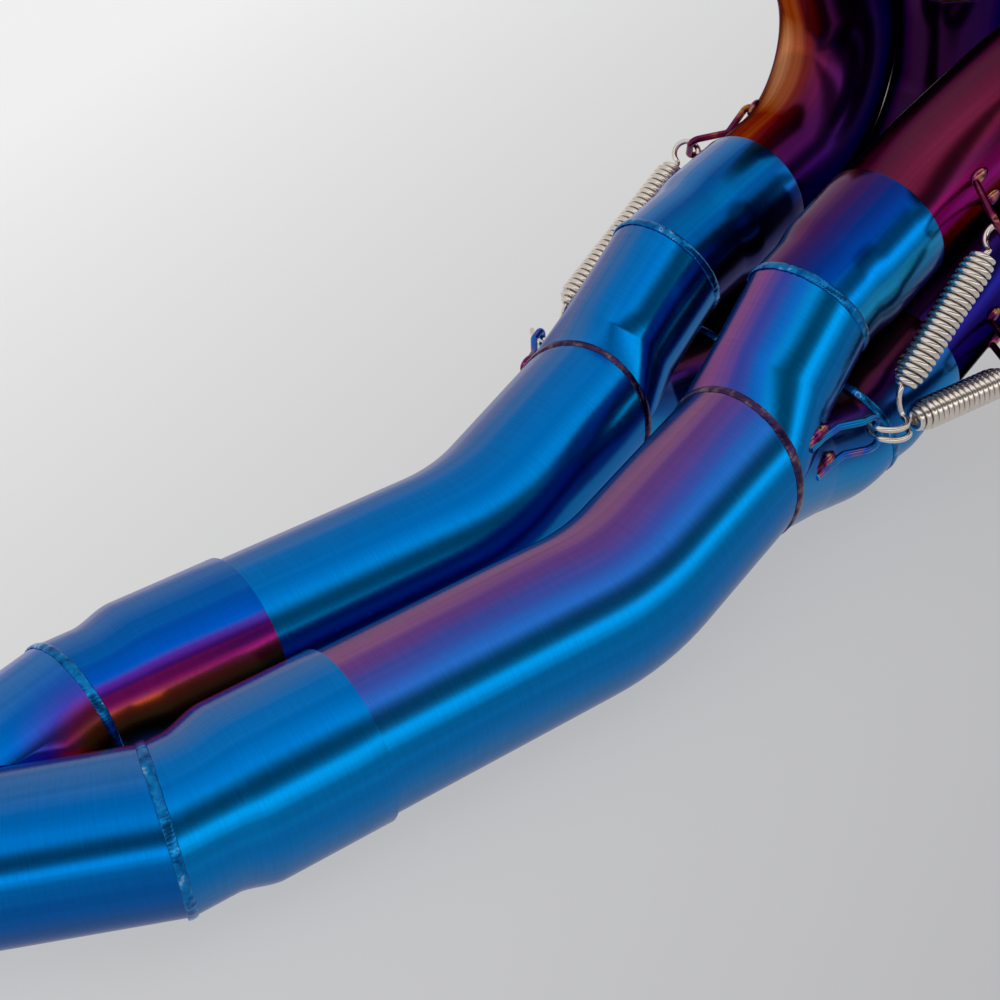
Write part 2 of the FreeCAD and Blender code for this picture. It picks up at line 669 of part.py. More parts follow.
def spring(label, start, start_bar, finish, finish_bar):
    """Close-wound tension spring between two hooks, with a ring of its own wire at each end."""
    wire, loop = radius_of("spring_wire"), size("spring_loop")
    middle_radius = radius_of("spring_od") - size("spring_inset")
    pull = unit(finish - start)
    hang = loop - radius_of("hook_wire") - wire
    parts = []
    ends = []
    for tip, bar_way, way, neck in ((start, start_bar, pull, size("spring_link_neck")),
                                    (finish, finish_bar, pull * -1, size("spring_header_neck"))):
        ring_normal = across(bar_way, way)
        center = tip + way * hang
        beside = ring_normal.cross(way)
        parts.append(Part.makeTorus(loop, wire, center, ring_normal))
        coil_end = center + way * (loop + neck)
        inside_coil = coil_end + beside * middle_radius + way * loop
        root = center + way * loop
        parts.append(bar(root, unit(inside_coil - root), (inside_coil - root).Length, wire))
        ends.append(coil_end)
    length = (ends[1] - ends[0]).Length
    coil = bar(ends[0], pull, length, radius_of("spring_od"))
    coil = coil.cut(bar(ends[0] - pull, pull, length + 2, radius_of("spring_od") - 2 * wire))
    feature(label, coil.fuse(parts))


for side in pipe_axes:
    tip, bar_way = tips[side]
    for level, sign in (("upper", 1), ("lower", -1)):
        end_tip, end_bar = tips[f"{side}_{level}_header"]
        spring(f"{side}_{level}_spring", tip + bar_way * (sign * size("spring_offset")), bar_way, end_tip, end_bar)


doc.recompute()

for item in doc.Objects:
    if "Invalid" in item.State or "Error" in item.State:
        raise RuntimeError(f"{item.Name} failed: {item.State}")
os.makedirs("parts", exist_ok=True)
for label, item in pieces.items():
    shape = item.Shape
    if shape.isNull() or not shape.isValid() or not shape.Solids:
        raise RuntimeError(f"{label} is not a valid solid")
    shape.exportStep(f"parts/{label}.step")
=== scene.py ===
import math

import bmesh
import bpy
from mathutils import Matrix, Vector


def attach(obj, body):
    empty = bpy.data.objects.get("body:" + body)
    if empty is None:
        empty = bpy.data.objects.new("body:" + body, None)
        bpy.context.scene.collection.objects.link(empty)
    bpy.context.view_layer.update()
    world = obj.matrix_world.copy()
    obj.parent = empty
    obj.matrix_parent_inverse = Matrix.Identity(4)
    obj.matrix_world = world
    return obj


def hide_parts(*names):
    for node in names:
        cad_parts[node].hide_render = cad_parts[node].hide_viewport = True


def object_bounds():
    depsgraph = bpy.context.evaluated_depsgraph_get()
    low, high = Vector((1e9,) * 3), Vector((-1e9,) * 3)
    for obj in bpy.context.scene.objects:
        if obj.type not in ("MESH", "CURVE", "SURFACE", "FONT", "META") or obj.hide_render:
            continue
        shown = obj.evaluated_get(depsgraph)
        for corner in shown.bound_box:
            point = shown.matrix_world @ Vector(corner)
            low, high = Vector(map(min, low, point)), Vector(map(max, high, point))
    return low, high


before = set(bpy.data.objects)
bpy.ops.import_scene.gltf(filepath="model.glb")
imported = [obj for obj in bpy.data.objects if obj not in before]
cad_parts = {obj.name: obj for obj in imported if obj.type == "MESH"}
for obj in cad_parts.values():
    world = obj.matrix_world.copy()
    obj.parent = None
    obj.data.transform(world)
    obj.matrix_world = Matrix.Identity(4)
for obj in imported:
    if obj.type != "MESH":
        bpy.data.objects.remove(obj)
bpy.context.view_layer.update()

# Outlet pipe.
# A plain length of rolled stainless tube at the rear end of the section, cut square. The silencer slips over it.
# All tubes here are drawn over rings of points round their centre lines, outer wall, rounded rim and inner wall in one.
MM = 0.001
UP = Vector((0, 0, 1))
AROUND = 96
TUBE_WALL = 1.5 * MM
RIM_ROUND = 0.3 * MM
LINK_R, HEADER_R, COLLECTOR_R, OUTLET_R = 25.4 * MM, 21.2 * MM, 23.9 * MM, 30.0 * MM
OUTLET_LENGTH, CONE_LENGTH, LOBE_OFFSET = 62 * MM, 44 * MM, 9 * MM
PIPE_SPACING, COLLECTOR_SOCKET_LENGTH = 62.3 * MM, 57 * MM
SIDES = ("near", "far")
MERGE_ANGLE = {"near": 27.8, "far": 15.0}


def across(vector, axis):
    """The part of a vector that is square to an axis, made one long."""
    return (vector - axis * vector.dot(axis)).normalized()


def heading(yaw, pitch):
    yaw, pitch = math.radians(yaw), math.radians(pitch)
    return Vector((math.cos(pitch) * math.cos(yaw), math.cos(pitch) * math.sin(yaw), math.sin(pitch)))


def up_and_side(axis):
    side = axis.cross(UP).normalized()
    return side.cross(axis), side


def leaning(axis, lean):
    """Upward from an axis, turned towards the near side."""
    up, side = up_and_side(axis)
    return up * math.cos(math.radians(lean)) + side * math.sin(math.radians(lean))


def ring(center, axis, radius, up, cut=None):
    """Points round a tube, slid along its axis to an oblique cut where there is one."""
    up = across(up, axis)
    side = axis.cross(up)
    points = []
    for step in range(AROUND):
        angle = 2 * math.pi * step / AROUND
        point = center + (up * math.cos(angle) + side * math.sin(angle)) * radius
        if cut:
            point = point + axis * ((center - point).dot(cut) / axis.dot(cut))
        points.append(point)
    return points


def walled(stations, wall, start_rim=True, end_rim=True):
    """Rings out along the outer wall, over the rim and back along the inner wall. A station is center, axis,
    radius, up and cut."""
    def inset(station, depth, back=0.0):
        center, axis, radius, up, cut = station
        return ring(center - axis * back, axis, radius - depth, up, cut)
    first, last = stations[0], stations[-1]
    r = RIM_ROUND
    rings = []
    if start_rim:
        rings += [inset(first, r), inset(first, 0.3 * r, -0.3 * r), inset(first, 0, -r)]
    else:
        rings.append(inset(first, 0))
    rings += [inset(station, 0) for station in stations[1:-1]]
    if end_rim:
        rings += [inset(last, 0, r), inset(last, 0.3 * r, 0.3 * r), inset(last, r)]
        rings += [inset(last, wall - r), inset(last, wall - 0.3 * r, 0.3 * r), inset(last, wall, r)]
    else:
        rings += [inset(last, 0), inset(last, wall)]
    rings += [inset(station, wall) for station in reversed(stations[1:-1])]
    if start_rim:
        rings += [inset(first, wall, -r), inset(first, wall - 0.3 * r, -0.3 * r), inset(first, wall - r)]
    else:
        rings.append(inset(first, wall))
    return rings


def skin(name, rings, finishes, first_turn=90.0, trim=None):
    """Closed mesh over rings of points, outer wall first, in an outer and an inner finish. Its lay is the surface's
    turn about the tube, up from level on the near side, and the distance along."""
    count = len(rings[0])
    mesh = bpy.data.meshes.new(name)
    verts = [point for points in rings for point in points]
    faces, around, along = [], [], []
    run = [0.0]
    for before, after in zip(rings, rings[1:] + rings[:1]):
        run.append(run[-1] + (sum(after, Vector()) - sum(before, Vector())).length / count)
    for row in range(len(rings)):
        for step in range(count):
            here, there = row * count, ((row + 1) % len(rings)) * count
            after = (step + 1) % count
            faces.append((here + step, here + after, there + after, there + step))
            around += [step, step + 1, step + 1, step]
            along += [run[row], run[row], run[row + 1], run[row + 1]]
    mesh.from_pydata(verts, [], faces)
    layer = mesh.uv_layers.new(name="lay")
    for loop, data in enumerate(layer.data):
        data.uv = (first_turn / 360 - around[loop] / count, along[loop])
    for finish in finishes:
        mesh.materials.append(finish)
    inner = (len(rings) // 2) * count
    for polygon in mesh.polygons:
        polygon.use_smooth = True
        polygon.material_index = 1 if polygon.index >= inner else 0
    work = bmesh.new()
    work.from_mesh(mesh)
    for point, normal in trim or []:
        geometry = work.verts[:] + work.edges[:] + work.faces[:]
        bmesh.ops.bisect_plane(work, geom=geometry, plane_co=point, plane_no=normal, clear_outer=True)
        edges = [edge for edge in work.edges if edge.is_boundary]
        bmesh.ops.triangle_fill(work, edges=edges, use_beauty=True, normal=normal)
    bmesh.ops.recalc_face_normals(work, faces=work.faces)
    work.to_mesh(mesh)
    work.free()
    mesh.set_sharp_from_angle(angle=math.radians(40))
    piece = bpy.data.objects.new(name, mesh)
    bpy.context.collection.objects.link(piece)
    return piece


def dress(piece, slot, *nodes):
    """Puts a piece on the rigid section in place of its solids."""
    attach(piece, "root")
    if nodes:
        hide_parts(*nodes)


def tree_of(material):
    material.use_nodes = True
    return material.node_tree, material.node_tree.nodes["Principled BSDF"]


def node(tree, kind, **settings):
    made = tree.nodes.new(kind)
    for name, value in settings.items():
        setattr(made, name, value)
    return made


def sums(tree, operation, first, second):
    """Math node between two values, each a socket or a number."""
    made = node(tree, "ShaderNodeMath", operation=operation)
    for place, value in enumerate((first, second)):
        if isinstance(value, (int, float)):
            made.inputs[place].default_value = value
        else:
            tree.links.new(value, made.inputs[place])
    return made.outputs[0]


def streaks(tree, lay, around, along, detail=3.0):
    """Noise drawn out over a tube, by how fast it changes round it and along it."""
    stretch = node(tree, "ShaderNodeMapping")
    stretch.inputs["Scale"].default_value = (around, along, 1)
    tree.links.new(lay, stretch.inputs["Vector"])
    noise = node(tree, "ShaderNodeTexNoise")
    noise.inputs["Scale"].default_value = 1.0
    noise.inputs["Detail"].default_value = detail
    tree.links.new(stretch.outputs[0], noise.inputs["Vector"])
    return noise.outputs["Fac"]


def ramp_of(tree, value, stops):
    """Colour ramp over (share, tint) stops."""
    ramp = node(tree, "ShaderNodeValToRGB")
    ramp.color_ramp.elements.remove(ramp.color_ramp.elements[1])
    for index, (share, tint) in enumerate(stops):
        element = ramp.color_ramp.elements[0] if index == 0 else ramp.color_ramp.elements.new(share)
        element.position, element.color = share, (*tint, 1)
    tree.links.new(value, ramp.inputs[0])
    return ramp


def tempered_with_painted_light(name, stops, rough=0.2, wander=0.05, edge=(0.75, 0.75, 0.85), streak=0.32, near=None):
    """Polished and heat-coloured tube with painted light in its tint: the tint follows the turn about the tube, so its
    stops hold painted highlights, painted reflections and painted shade over the heat colour. Streaks drawn out along
    it make the tint lighter and darker as painted highlight and shade, with a fine brushing round it. A stop is a turn
    in degrees and a tint. Near a place, the tint turns to others, by (distance, tint, share)."""
    material = bpy.data.materials.new(name)
    tree, surface = tree_of(material)
    lay = node(tree, "ShaderNodeUVMap", uv_map="lay").outputs[0]
    parts = node(tree, "ShaderNodeSeparateXYZ")
    tree.links.new(lay, parts.inputs[0])
    place = node(tree, "ShaderNodeTexCoord").outputs["Object"]
    cloud = node(tree, "ShaderNodeTexNoise")
    cloud.inputs["Scale"].default_value = 14.0
    cloud.inputs["Detail"].default_value = 2.0
    tree.links.new(place, cloud.inputs["Vector"])
    drift = sums(tree, "MULTIPLY", sums(tree, "SUBTRACT", cloud.outputs["Fac"], 0.5), wander)
    fine = streaks(tree, lay, 60, 4)
    drift = sums(tree, "ADD", drift, sums(tree, "MULTIPLY", sums(tree, "SUBTRACT", fine, 0.5), 0.05))
    turn = sums(tree, "FRACT", sums(tree, "ADD", sums(tree, "ADD", parts.outputs[0], 0.5), drift), 0.0)
    # Tint by the turn about the tube: heat colour with painted highlights, painted reflections and painted shade at
    # fixed turns.
    ramp = ramp_of(tree, turn, [((degrees + 180) / 360, tint) for degrees, tint in stops])
    ramp.color_ramp.interpolation = "EASE"
    color = ramp.outputs[0]
    if near:
        spot, rings = near
        gap = node(tree, "ShaderNodeVectorMath", operation="DISTANCE")
        tree.links.new(place, gap.inputs[0])
        gap.inputs[1].default_value = spot
        reach = rings[-1][0]
        away = sums(tree, "ADD", sums(tree, "DIVIDE", gap.outputs["Value"], reach),
                    sums(tree, "MULTIPLY", sums(tree, "SUBTRACT", cloud.outputs["Fac"], 0.5), 0.25))
        tints = ramp_of(tree, away, [(distance / reach, tint) for distance, tint, share in rings])
        cover = ramp_of(tree, away, [(distance / reach, (share,) * 3) for distance, tint, share in rings])
        laid = node(tree, "ShaderNodeMix", data_type="RGBA")
        colors = [entry for entry in laid.inputs if entry.type == "RGBA"]
        tree.links.new(cover.outputs[0], laid.inputs[0])
        tree.links.new(color, colors[0])
        tree.links.new(tints.outputs[0], colors[1])
        color = [out for out in laid.outputs if out.type == "RGBA"][0]
    # Painted highlight and shade streaks: noise drawn out along the tube and round it scales the tint lighter and
    # darker.
    shade = node(tree, "ShaderNodeMapRange")
    shade.inputs["To Min"].default_value, shade.inputs["To Max"].default_value = 1 - streak, 1 + streak
    tree.links.new(sums(tree, "ADD", sums(tree, "MULTIPLY", fine, 0.6),
                        sums(tree, "MULTIPLY", streaks(tree, lay, 12, 1300, 3.0), 0.4)), shade.inputs["Value"])
    tinted = node(tree, "ShaderNodeVectorMath", operation="SCALE")
    tree.links.new(color, tinted.inputs[0])
    tree.links.new(shade.outputs[0], tinted.inputs["Scale"])
    tree.links.new(tinted.outputs[0], surface.inputs["Base Color"])
    brushing = streaks(tree, lay, 5, 2600, 4.0)
    bump = node(tree, "ShaderNodeBump")
    bump.inputs["Strength"].default_value = 0.3
    bump.inputs["Distance"].default_value = 0.00005
    tree.links.new(brushing, bump.inputs["Height"])
    tree.links.new(bump.outputs[0], surface.inputs["Normal"])
    spread_ = node(tree, "ShaderNodeMapRange")
    spread_.inputs["To Min"].default_value, spread_.inputs["To Max"].default_value = rough - 0.06, rough + 0.06
    tree.links.new(brushing, spread_.inputs["Value"])
    tree.links.new(spread_.outputs[0], surface.inputs["Roughness"])
    surface.inputs["Specular Tint"].default_value = (*edge, 1)
    surface.inputs["Metallic"].default_value = 1.0
    return material


def plain_metal(name, tint, rough, blotch=0.25, scale=60.0, patches=None):
    """Metal with a slightly uneven tint and an even polish, and where given, with patches of further tints: each with
    the share of the noise where it starts."""
    material = bpy.data.materials.new(name)
    tree, surface = tree_of(material)
    place = node(tree, "ShaderNodeTexCoord").outputs["Object"]
    cloud = node(tree, "ShaderNodeTexNoise")
    cloud.inputs["Scale"].default_value = scale
    tree.links.new(place, cloud.inputs["Vector"])
    ramp = node(tree, "ShaderNodeValToRGB")
    ramp.color_ramp.elements[0].position, ramp.color_ramp.elements[1].position = 0.3, 0.7
    ramp.color_ramp.elements[0].color = (*(part * (1 - blotch) for part in tint), 1)
    ramp.color_ramp.elements[1].color = (*(min(1.0, part * (1 + blotch)) for part in tint), 1)
    for share, patch in patches or []:
        ramp.color_ramp.elements.new(share).color = (*patch, 1)
    tree.links.new(cloud.outputs["Fac"], ramp.inputs[0])
    tree.links.new(ramp.outputs[0], surface.inputs["Base Color"])
    surface.inputs["Roughness"].default_value = rough
    surface.inputs["Metallic"].default_value = 1.0
    return material


# Heat-blue tints by the turn about the tube with painted light in them: a painted highlight just above level on the
# near side, and purple, then darker, over the top towards the far side as painted shade.
BACK_BLUE = (0.02, 0.10, 0.42)
LOW_BLUE = [(-180, BACK_BLUE), (-110, (0.04, 0.10, 0.34)), (-60, (0.10, 0.20, 0.38)), (-28, (0.05, 0.21, 0.48)),
            (2, (0.004, 0.19, 0.56)), (28, (0.0, 0.25, 0.66))]
BLUE = LOW_BLUE + [(44, (0.0, 0.22, 0.66)), (60, (0.0, 0.18, 0.60)), (80, (0.004, 0.19, 0.60)),
                   (95, (0.05, 0.20, 0.52)), (112, (0.14, 0.20, 0.42)), (140, (0.10, 0.09, 0.30)), (180, BACK_BLUE)]
blued = tempered_with_painted_light("blued_steel_painted_light", BLUE)
inside = plain_metal("sooty_bore", (0.22, 0.16, 0.11), 0.55)

near_axis, far_axis = Vector((1, 0, 0)), heading(2.1, -2.6)
pipe_axes = {"near": near_axis, "far": far_axis}
socket_mouths = {"near": Vector(), "far": Vector((0, PIPE_SPACING, 0))}
rearward = {"near": heading(180 - MERGE_ANGLE["near"], 0), "far": heading(180 + MERGE_ANGLE["far"], 0)}
mitres = {side: socket_mouths[side] - pipe_axes[side] * COLLECTOR_SOCKET_LENGTH for side in SIDES}
outlet_axis = (rearward["near"] + rearward["far"]).normalized()
half_merge = math.acos(outlet_axis.dot(rearward["near"]))
spread = mitres["far"] - mitres["near"]
along_near = spread.cross(rearward["far"]).z / rearward["near"].cross(rearward["far"]).z
meeting = mitres["near"] + rearward["near"] * along_near
cone_mouth = meeting - outlet_axis * (LOBE_OFFSET / math.tan(half_merge))
outlet_start = cone_mouth + outlet_axis * CONE_LENGTH
outlet_end = outlet_start + outlet_axis * OUTLET_LENGTH
lobe_centers = {side: meeting - rearward[side] * (LOBE_OFFSET / math.sin(half_merge)) for side in SIDES}
rearward = {side: (lobe_centers[side] - mitres[side]).normalized() for side in SIDES}
cone_mouth, outlet_start, meeting = (point - outlet_end for point in (cone_mouth, outlet_start, meeting))
socket_mouths = {side: point - outlet_end for side, point in socket_mouths.items()}
mitres = {side: point - outlet_end for side, point in mitres.items()}
outlet_side = UP.cross(outlet_axis)

outlet = skin("outlet_skin", walled([
    (outlet_start, outlet_axis, OUTLET_R, UP, None),
    (outlet_start * 0.5, outlet_axis, OUTLET_R, UP, None),
    (Vector(), outlet_axis, OUTLET_R, UP, None),
], TUBE_WALL, start_rim=False), (blued, inside))
dress(outlet, "blued_tube", "outlet_pipe")

# Merge cone.
# Pressed in two shells and seam welded: it starts round both collector tubes and ends in the outlet's circle.


def lobe_ring(inset, share):
    """Outline between the two tubes' outline and the outlet's circle, at a share of the cone's length."""
    gap, radius = LOBE_OFFSET / math.cos(half_merge), COLLECTOR_R - inset
    center = cone_mouth.lerp(outlet_start, share)
    waist = math.acos(gap / radius)
    points = []
    for step in range(AROUND):
        angle = 2 * math.pi * step / AROUND
        turn = (angle + math.pi / 2) % (2 * math.pi) - math.pi / 2
        half_turns = 1 if -math.pi / 2 <= turn < math.pi / 2 else -1
        part = turn if half_turns == 1 else turn - math.pi
        spread_angle = part / (math.pi / 2) * (math.pi - waist)
        lobe = outlet_side * (half_turns * (gap + radius * math.cos(spread_angle)))
        lobe = lobe + UP * (half_turns * radius * math.sin(spread_angle))
        round_ = outlet_side * math.cos(angle) + UP * math.sin(angle)
        points.append(center + lobe.lerp(round_ * (OUTLET_R - inset), share))
    return points


shares = [step / 16 for step in range(17)]
cone = skin("merge_cone_skin", [lobe_ring(0, share) for share in shares]
            + [lobe_ring(TUBE_WALL, share) for share in reversed(shares)], (blued, inside), 0.0)
dress(cone, "blued_tube", "merge_cone")

# Collector tubes.
# Two lengths of tube that lean together in plan. Each is mitred to its socket and to the other tube. The weld in the
# crotch has turned the blue to magenta and gold.
crotch = tuple(mitres["far"] - Vector((0, COLLECTOR_R, 0)))
CROTCH_RINGS = [(0, (0.20, 0.07, 0.01), 1.0), (0.010, (0.30, 0.07, 0.01), 1.0), (0.0145, (0.34, 0.02, 0.10), 0.95),
                (0.020, (0.08, 0.01, 0.34), 0.7), (0.032, (0.0, 0.05, 0.55), 0.0)]
# Collector tube tints: heat-blue with painted shade by the turn, darker below, and on the far tube also on its side
# towards the near tube, where the two shade each other. The crotch rings are heat colour from the weld.
collector_finish = {"near": tempered_with_painted_light("blued_near_collector_painted_shade", [
                        (-180, BACK_BLUE), (-60, (0.05, 0.10, 0.26)), (-28, (0.02, 0.11, 0.34)),
                        (2, (0.003, 0.11, 0.42)), (28, (0.0, 0.19, 0.60)), (60, (0.0, 0.16, 0.56)),
                        (95, (0.05, 0.20, 0.52)), (112, (0.14, 0.20, 0.42)), (140, (0.10, 0.09, 0.30)),
                        (180, BACK_BLUE)], near=(crotch, CROTCH_RINGS)),
                    "far": tempered_with_painted_light("blued_far_collector_painted_shade", [
                        (-180, BACK_BLUE), (-90, (0.02, 0.03, 0.30)), (-20, (0.0, 0.03, 0.45)), (20, (0.0, 0.08, 0.60)),
                        (60, (0.0, 0.15, 0.58)), (95, (0.05, 0.22, 0.60)), (120, (0.18, 0.26, 0.56)),
                        (180, BACK_BLUE)], near=(crotch, CROTCH_RINGS))}
for side in SIDES:
    run = rearward[side] * -1
    mitre = (run + pipe_axes[side]).normalized()
    past = mitres[side] - run * ((meeting - mitres[side]).length + COLLECTOR_R * 2)
    stations = [(past, run, COLLECTOR_R, UP, None)]
    span = mitres[side] - stations[0][0]
    stations += [(stations[0][0] + span * (step / 8), run, COLLECTOR_R, UP, None) for step in range(1, 8)]
    stations.append((mitres[side], run, COLLECTOR_R, UP, mitre))
    finishes = (collector_finish[side], inside)
    piece = skin(f"{side}_collector_tube_skin", walled(stations, TUBE_WALL, False, False), finishes, trim=[
        (cone_mouth, outlet_axis), (meeting, outlet_side * (-1 if side == "near" else 1))])
    dress(piece, "blued_tube", f"{side}_collector_tube")

# Collector sockets.
# The expanded ends that the link pipes slip into: a straight mouth, a taper with soft corners and a short neck,
# mitred to the collector tube and welded there.
SLIP, SOCKET_WALL = 0.15 * MM, 1.2 * MM
COLLECTOR_GRIP, COLLECTOR_TAPER = 37 * MM, 8 * MM


def socket_stations(corner, axis, length, neck_r, tube_r, grip, taper, up, cut):
    """Neck, taper and mouth of an expanded socket, its corners eased over a few rings."""
    mouth_r = tube_r + SLIP + SOCKET_WALL
    neck_end, grip_start = length - grip - taper, length - grip
    stations = [(corner, axis, neck_r, up, cut)]
    steps = 14
    ease = 0.35 * taper
    low, high = max(neck_end - ease, 0.3 * neck_end), grip_start + ease
    for step in range(steps + 1):
        share = step / steps
        smooth = share * share * (3 - 2 * share)
        stations.append((corner + axis * (low + (high - low) * share), axis,
                         neck_r + (mouth_r - neck_r) * smooth, up, None))
    for share in (0.35, 0.7, 1.0):
        stations.append((corner + axis * (high + (length - high) * share), axis, mouth_r, up, None))
    return stations


# Far collector socket: heat-blue with a band of brown, gold, magenta and purple along its side towards the near socket.
# The band is heat colour with a painted reflection of the near socket laid into it.
socket_finish = {"near": blued, "far": tempered_with_painted_light("blued_far_socket_heat_and_painted_reflection", [
    (-180, BACK_BLUE), (-110, (0.04, 0.10, 0.34)), (-60, (0.04, 0.16, 0.40)), (-14, (0.0, 0.20, 0.62)),
    (2, (0.10, 0.06, 0.04)), (14, (0.40, 0.14, 0.015)), (24, (0.52, 0.09, 0.02)), (33, (0.55, 0.02, 0.30)),
    (41, (0.12, 0.012, 0.34)), (54, (0.0, 0.09, 0.52)), (78, (0.003, 0.13, 0.50)), (95, (0.05, 0.19, 0.52)),
    (112, (0.14, 0.20, 0.44)), (140, (0.12, 0.10, 0.34)), (180, BACK_BLUE)])}
for side in SIDES:
    axis = pipe_axes[side]
    mitre = (rearward[side] * -1 + axis).normalized()
    stations = socket_stations(mitres[side], axis, COLLECTOR_SOCKET_LENGTH, COLLECTOR_R, LINK_R, COLLECTOR_GRIP,
                               COLLECTOR_TAPER, UP, mitre)
    piece = skin(f"{side}_collector_socket_skin", walled(stations, SOCKET_WALL, start_rim=False),
                 (socket_finish[side], inside))
    dress(piece, "blued_tube", f"{side}_collector_socket")

# Link pipes.
# Two-inch tube with one mandrel bend each. The rear end slips into the collector socket and the front end is cut at
# a slant for the Y.
LINK_SLIP, LINK_BEND_R = 34 * MM, 88.9 * MM
LINK = {
    "near": {"straight": 78.0, "bend": 18.9, "lean": 55.8, "upper": 50.3, "fall": 12.1, "aside": 2.7},
    "far": {"straight": 69.0, "bend": 22.2, "lean": 62.6, "upper": 47.0, "fall": 15.3, "aside": -4.9},
}


def bent_stations(start, axis, inward, radius, first, bend_radius, angle, last, end_cut=None):
    """Stations along a straight run, a bend towards inward and another straight run, and the last direction."""
    binormal = axis.cross(inward)
    stations = [(start + axis * (first * share), axis, radius, binormal, None) for share in (0, 0.33, 0.66)]
    turn = math.radians(angle)
    steps = max(8, round(angle / 3))
    corner = start + axis * first
    for step in range(steps + 1):
        part = turn * step / steps
        center = corner + axis * (bend_radius * math.sin(part)) + inward * (bend_radius * (1 - math.cos(part)))
        way = axis * math.cos(part) + inward * math.sin(part)
        stations.append((center, way, radius, binormal, None))
    stations += [(center + way * (last * share), way, radius, binormal, None) for share in (0.33, 0.66)]
    stations.append((center + way * last, way, radius, binormal, end_cut))
    return stations


# Near link pipe: heat-blue with painted light by the turn. A painted highlight sits just above level on the near side,
# purple over the top is painted sheen, and the dark towards the far side is painted shade.
link_finish = {"far": blued, "near": tempered_with_painted_light("blued_near_link_painted_light", LOW_BLUE + [
    (50, (0.018, 0.14, 0.54)), (64, (0.05, 0.09, 0.44)), (80, (0.16, 0.065, 0.31)), (98, (0.31, 0.12, 0.27)),
    (114, (0.19, 0.065, 0.20)), (124, (0.06, 0.035, 0.16)), (150, (0.03, 0.02, 0.16)), (180, BACK_BLUE)])}
link_ends = {}
for side in SIDES:
    pipe, axis = LINK[side], pipe_axes[side]
    inward = leaning(axis, -pipe["lean"])
    turn = math.radians(pipe["bend"])
    along = axis * math.cos(turn) + inward * math.sin(turn)
    up, aside = up_and_side(along)
    cut = (along - up * math.tan(math.radians(pipe["fall"])) + aside * math.tan(math.radians(pipe["aside"]))).normalized()
    stations = bent_stations(socket_mouths[side] - axis * LINK_SLIP, axis, inward, LINK_R,
                             LINK_SLIP + pipe["straight"] * MM, LINK_BEND_R, pipe["bend"], pipe["upper"] * MM, cut)
    link_ends[side] = (stations[-1][0], along, up, aside, cut)
    piece = skin(f"{side}_link_pipe_skin", walled(stations, TUBE_WALL, end_rim=False),
                 (link_finish[side], inside), pipe["lean"])
    dress(piece, "blued_tube", f"{side}_link_pipe")

# Branches of the Ys.
# Two smaller tubes start in formed mouths on each link pipe's end and part at a saddle. The upper one is straight and
# mitred to its socket, the lower one bends into line with its socket.
MOUTH_RUN, BRANCH_TANGENT = 26 * MM, 7 * MM
SOCKET_PITCH, LOWER_SIDE, LOWER_SETBACK, LOWER_SOCKET_LENGTH = 50 * MM, 1 * MM, 8.2 * MM, 36.5 * MM
BRANCH = {
    "near": {"reach": 48.4, "rise": 25.8, "aside": 1.5, "yaw": 11.7, "pitch": 16.0, "socket": 44.0},
    "far": {"reach": 49.8, "rise": 29.4, "aside": 10.6, "yaw": 14.8, "pitch": 7.8, "socket": 51.5},
}
header_mouths, header_axes, corners, ways = {}, {}, {}, {}
# Near upper branch: heat-blue with painted light by the turn. A painted highlight lies over the upper near side, purple
# over the top is painted sheen, and the dark towards the far side is painted shade.
near_branch = tempered_with_painted_light("blued_near_branch_painted_light", LOW_BLUE + [
    (50, (0.0, 0.25, 0.66)), (68, (0.005, 0.15, 0.60)), (84, (0.05, 0.08, 0.46)), (98, (0.22, 0.09, 0.36)),
    (112, (0.30, 0.09, 0.28)), (130, (0.10, 0.03, 0.14)), (180, BACK_BLUE)])
# Lower branches and lower sockets: heat-blue, paler and brighter low on the near side as painted light. They run dark
# brown to near black over the top, where the upper branch shades them, as painted shade over the heat colour.
lower_branch = tempered_with_painted_light("blued_lower_branch_painted_shade", [
    (-180, BACK_BLUE), (-110, (0.05, 0.14, 0.36)), (-60, (0.12, 0.28, 0.46)), (-30, (0.06, 0.28, 0.55)),
    (-4, (0.01, 0.28, 0.66)), (18, (0.01, 0.12, 0.42)), (34, (0.01, 0.05, 0.24)), (46, (0.035, 0.005, 0.11)),
    (58, (0.05, 0.008, 0.025)), (70, (0.04, 0.010, 0.010)), (88, (0.025, 0.005, 0.025)), (120, (0.02, 0.006, 0.05)),
    (180, BACK_BLUE)])
branch_finish = {("near", "upper"): near_branch, ("far", "upper"): blued,
                 ("near", "lower"): lower_branch, ("far", "lower"): lower_branch}
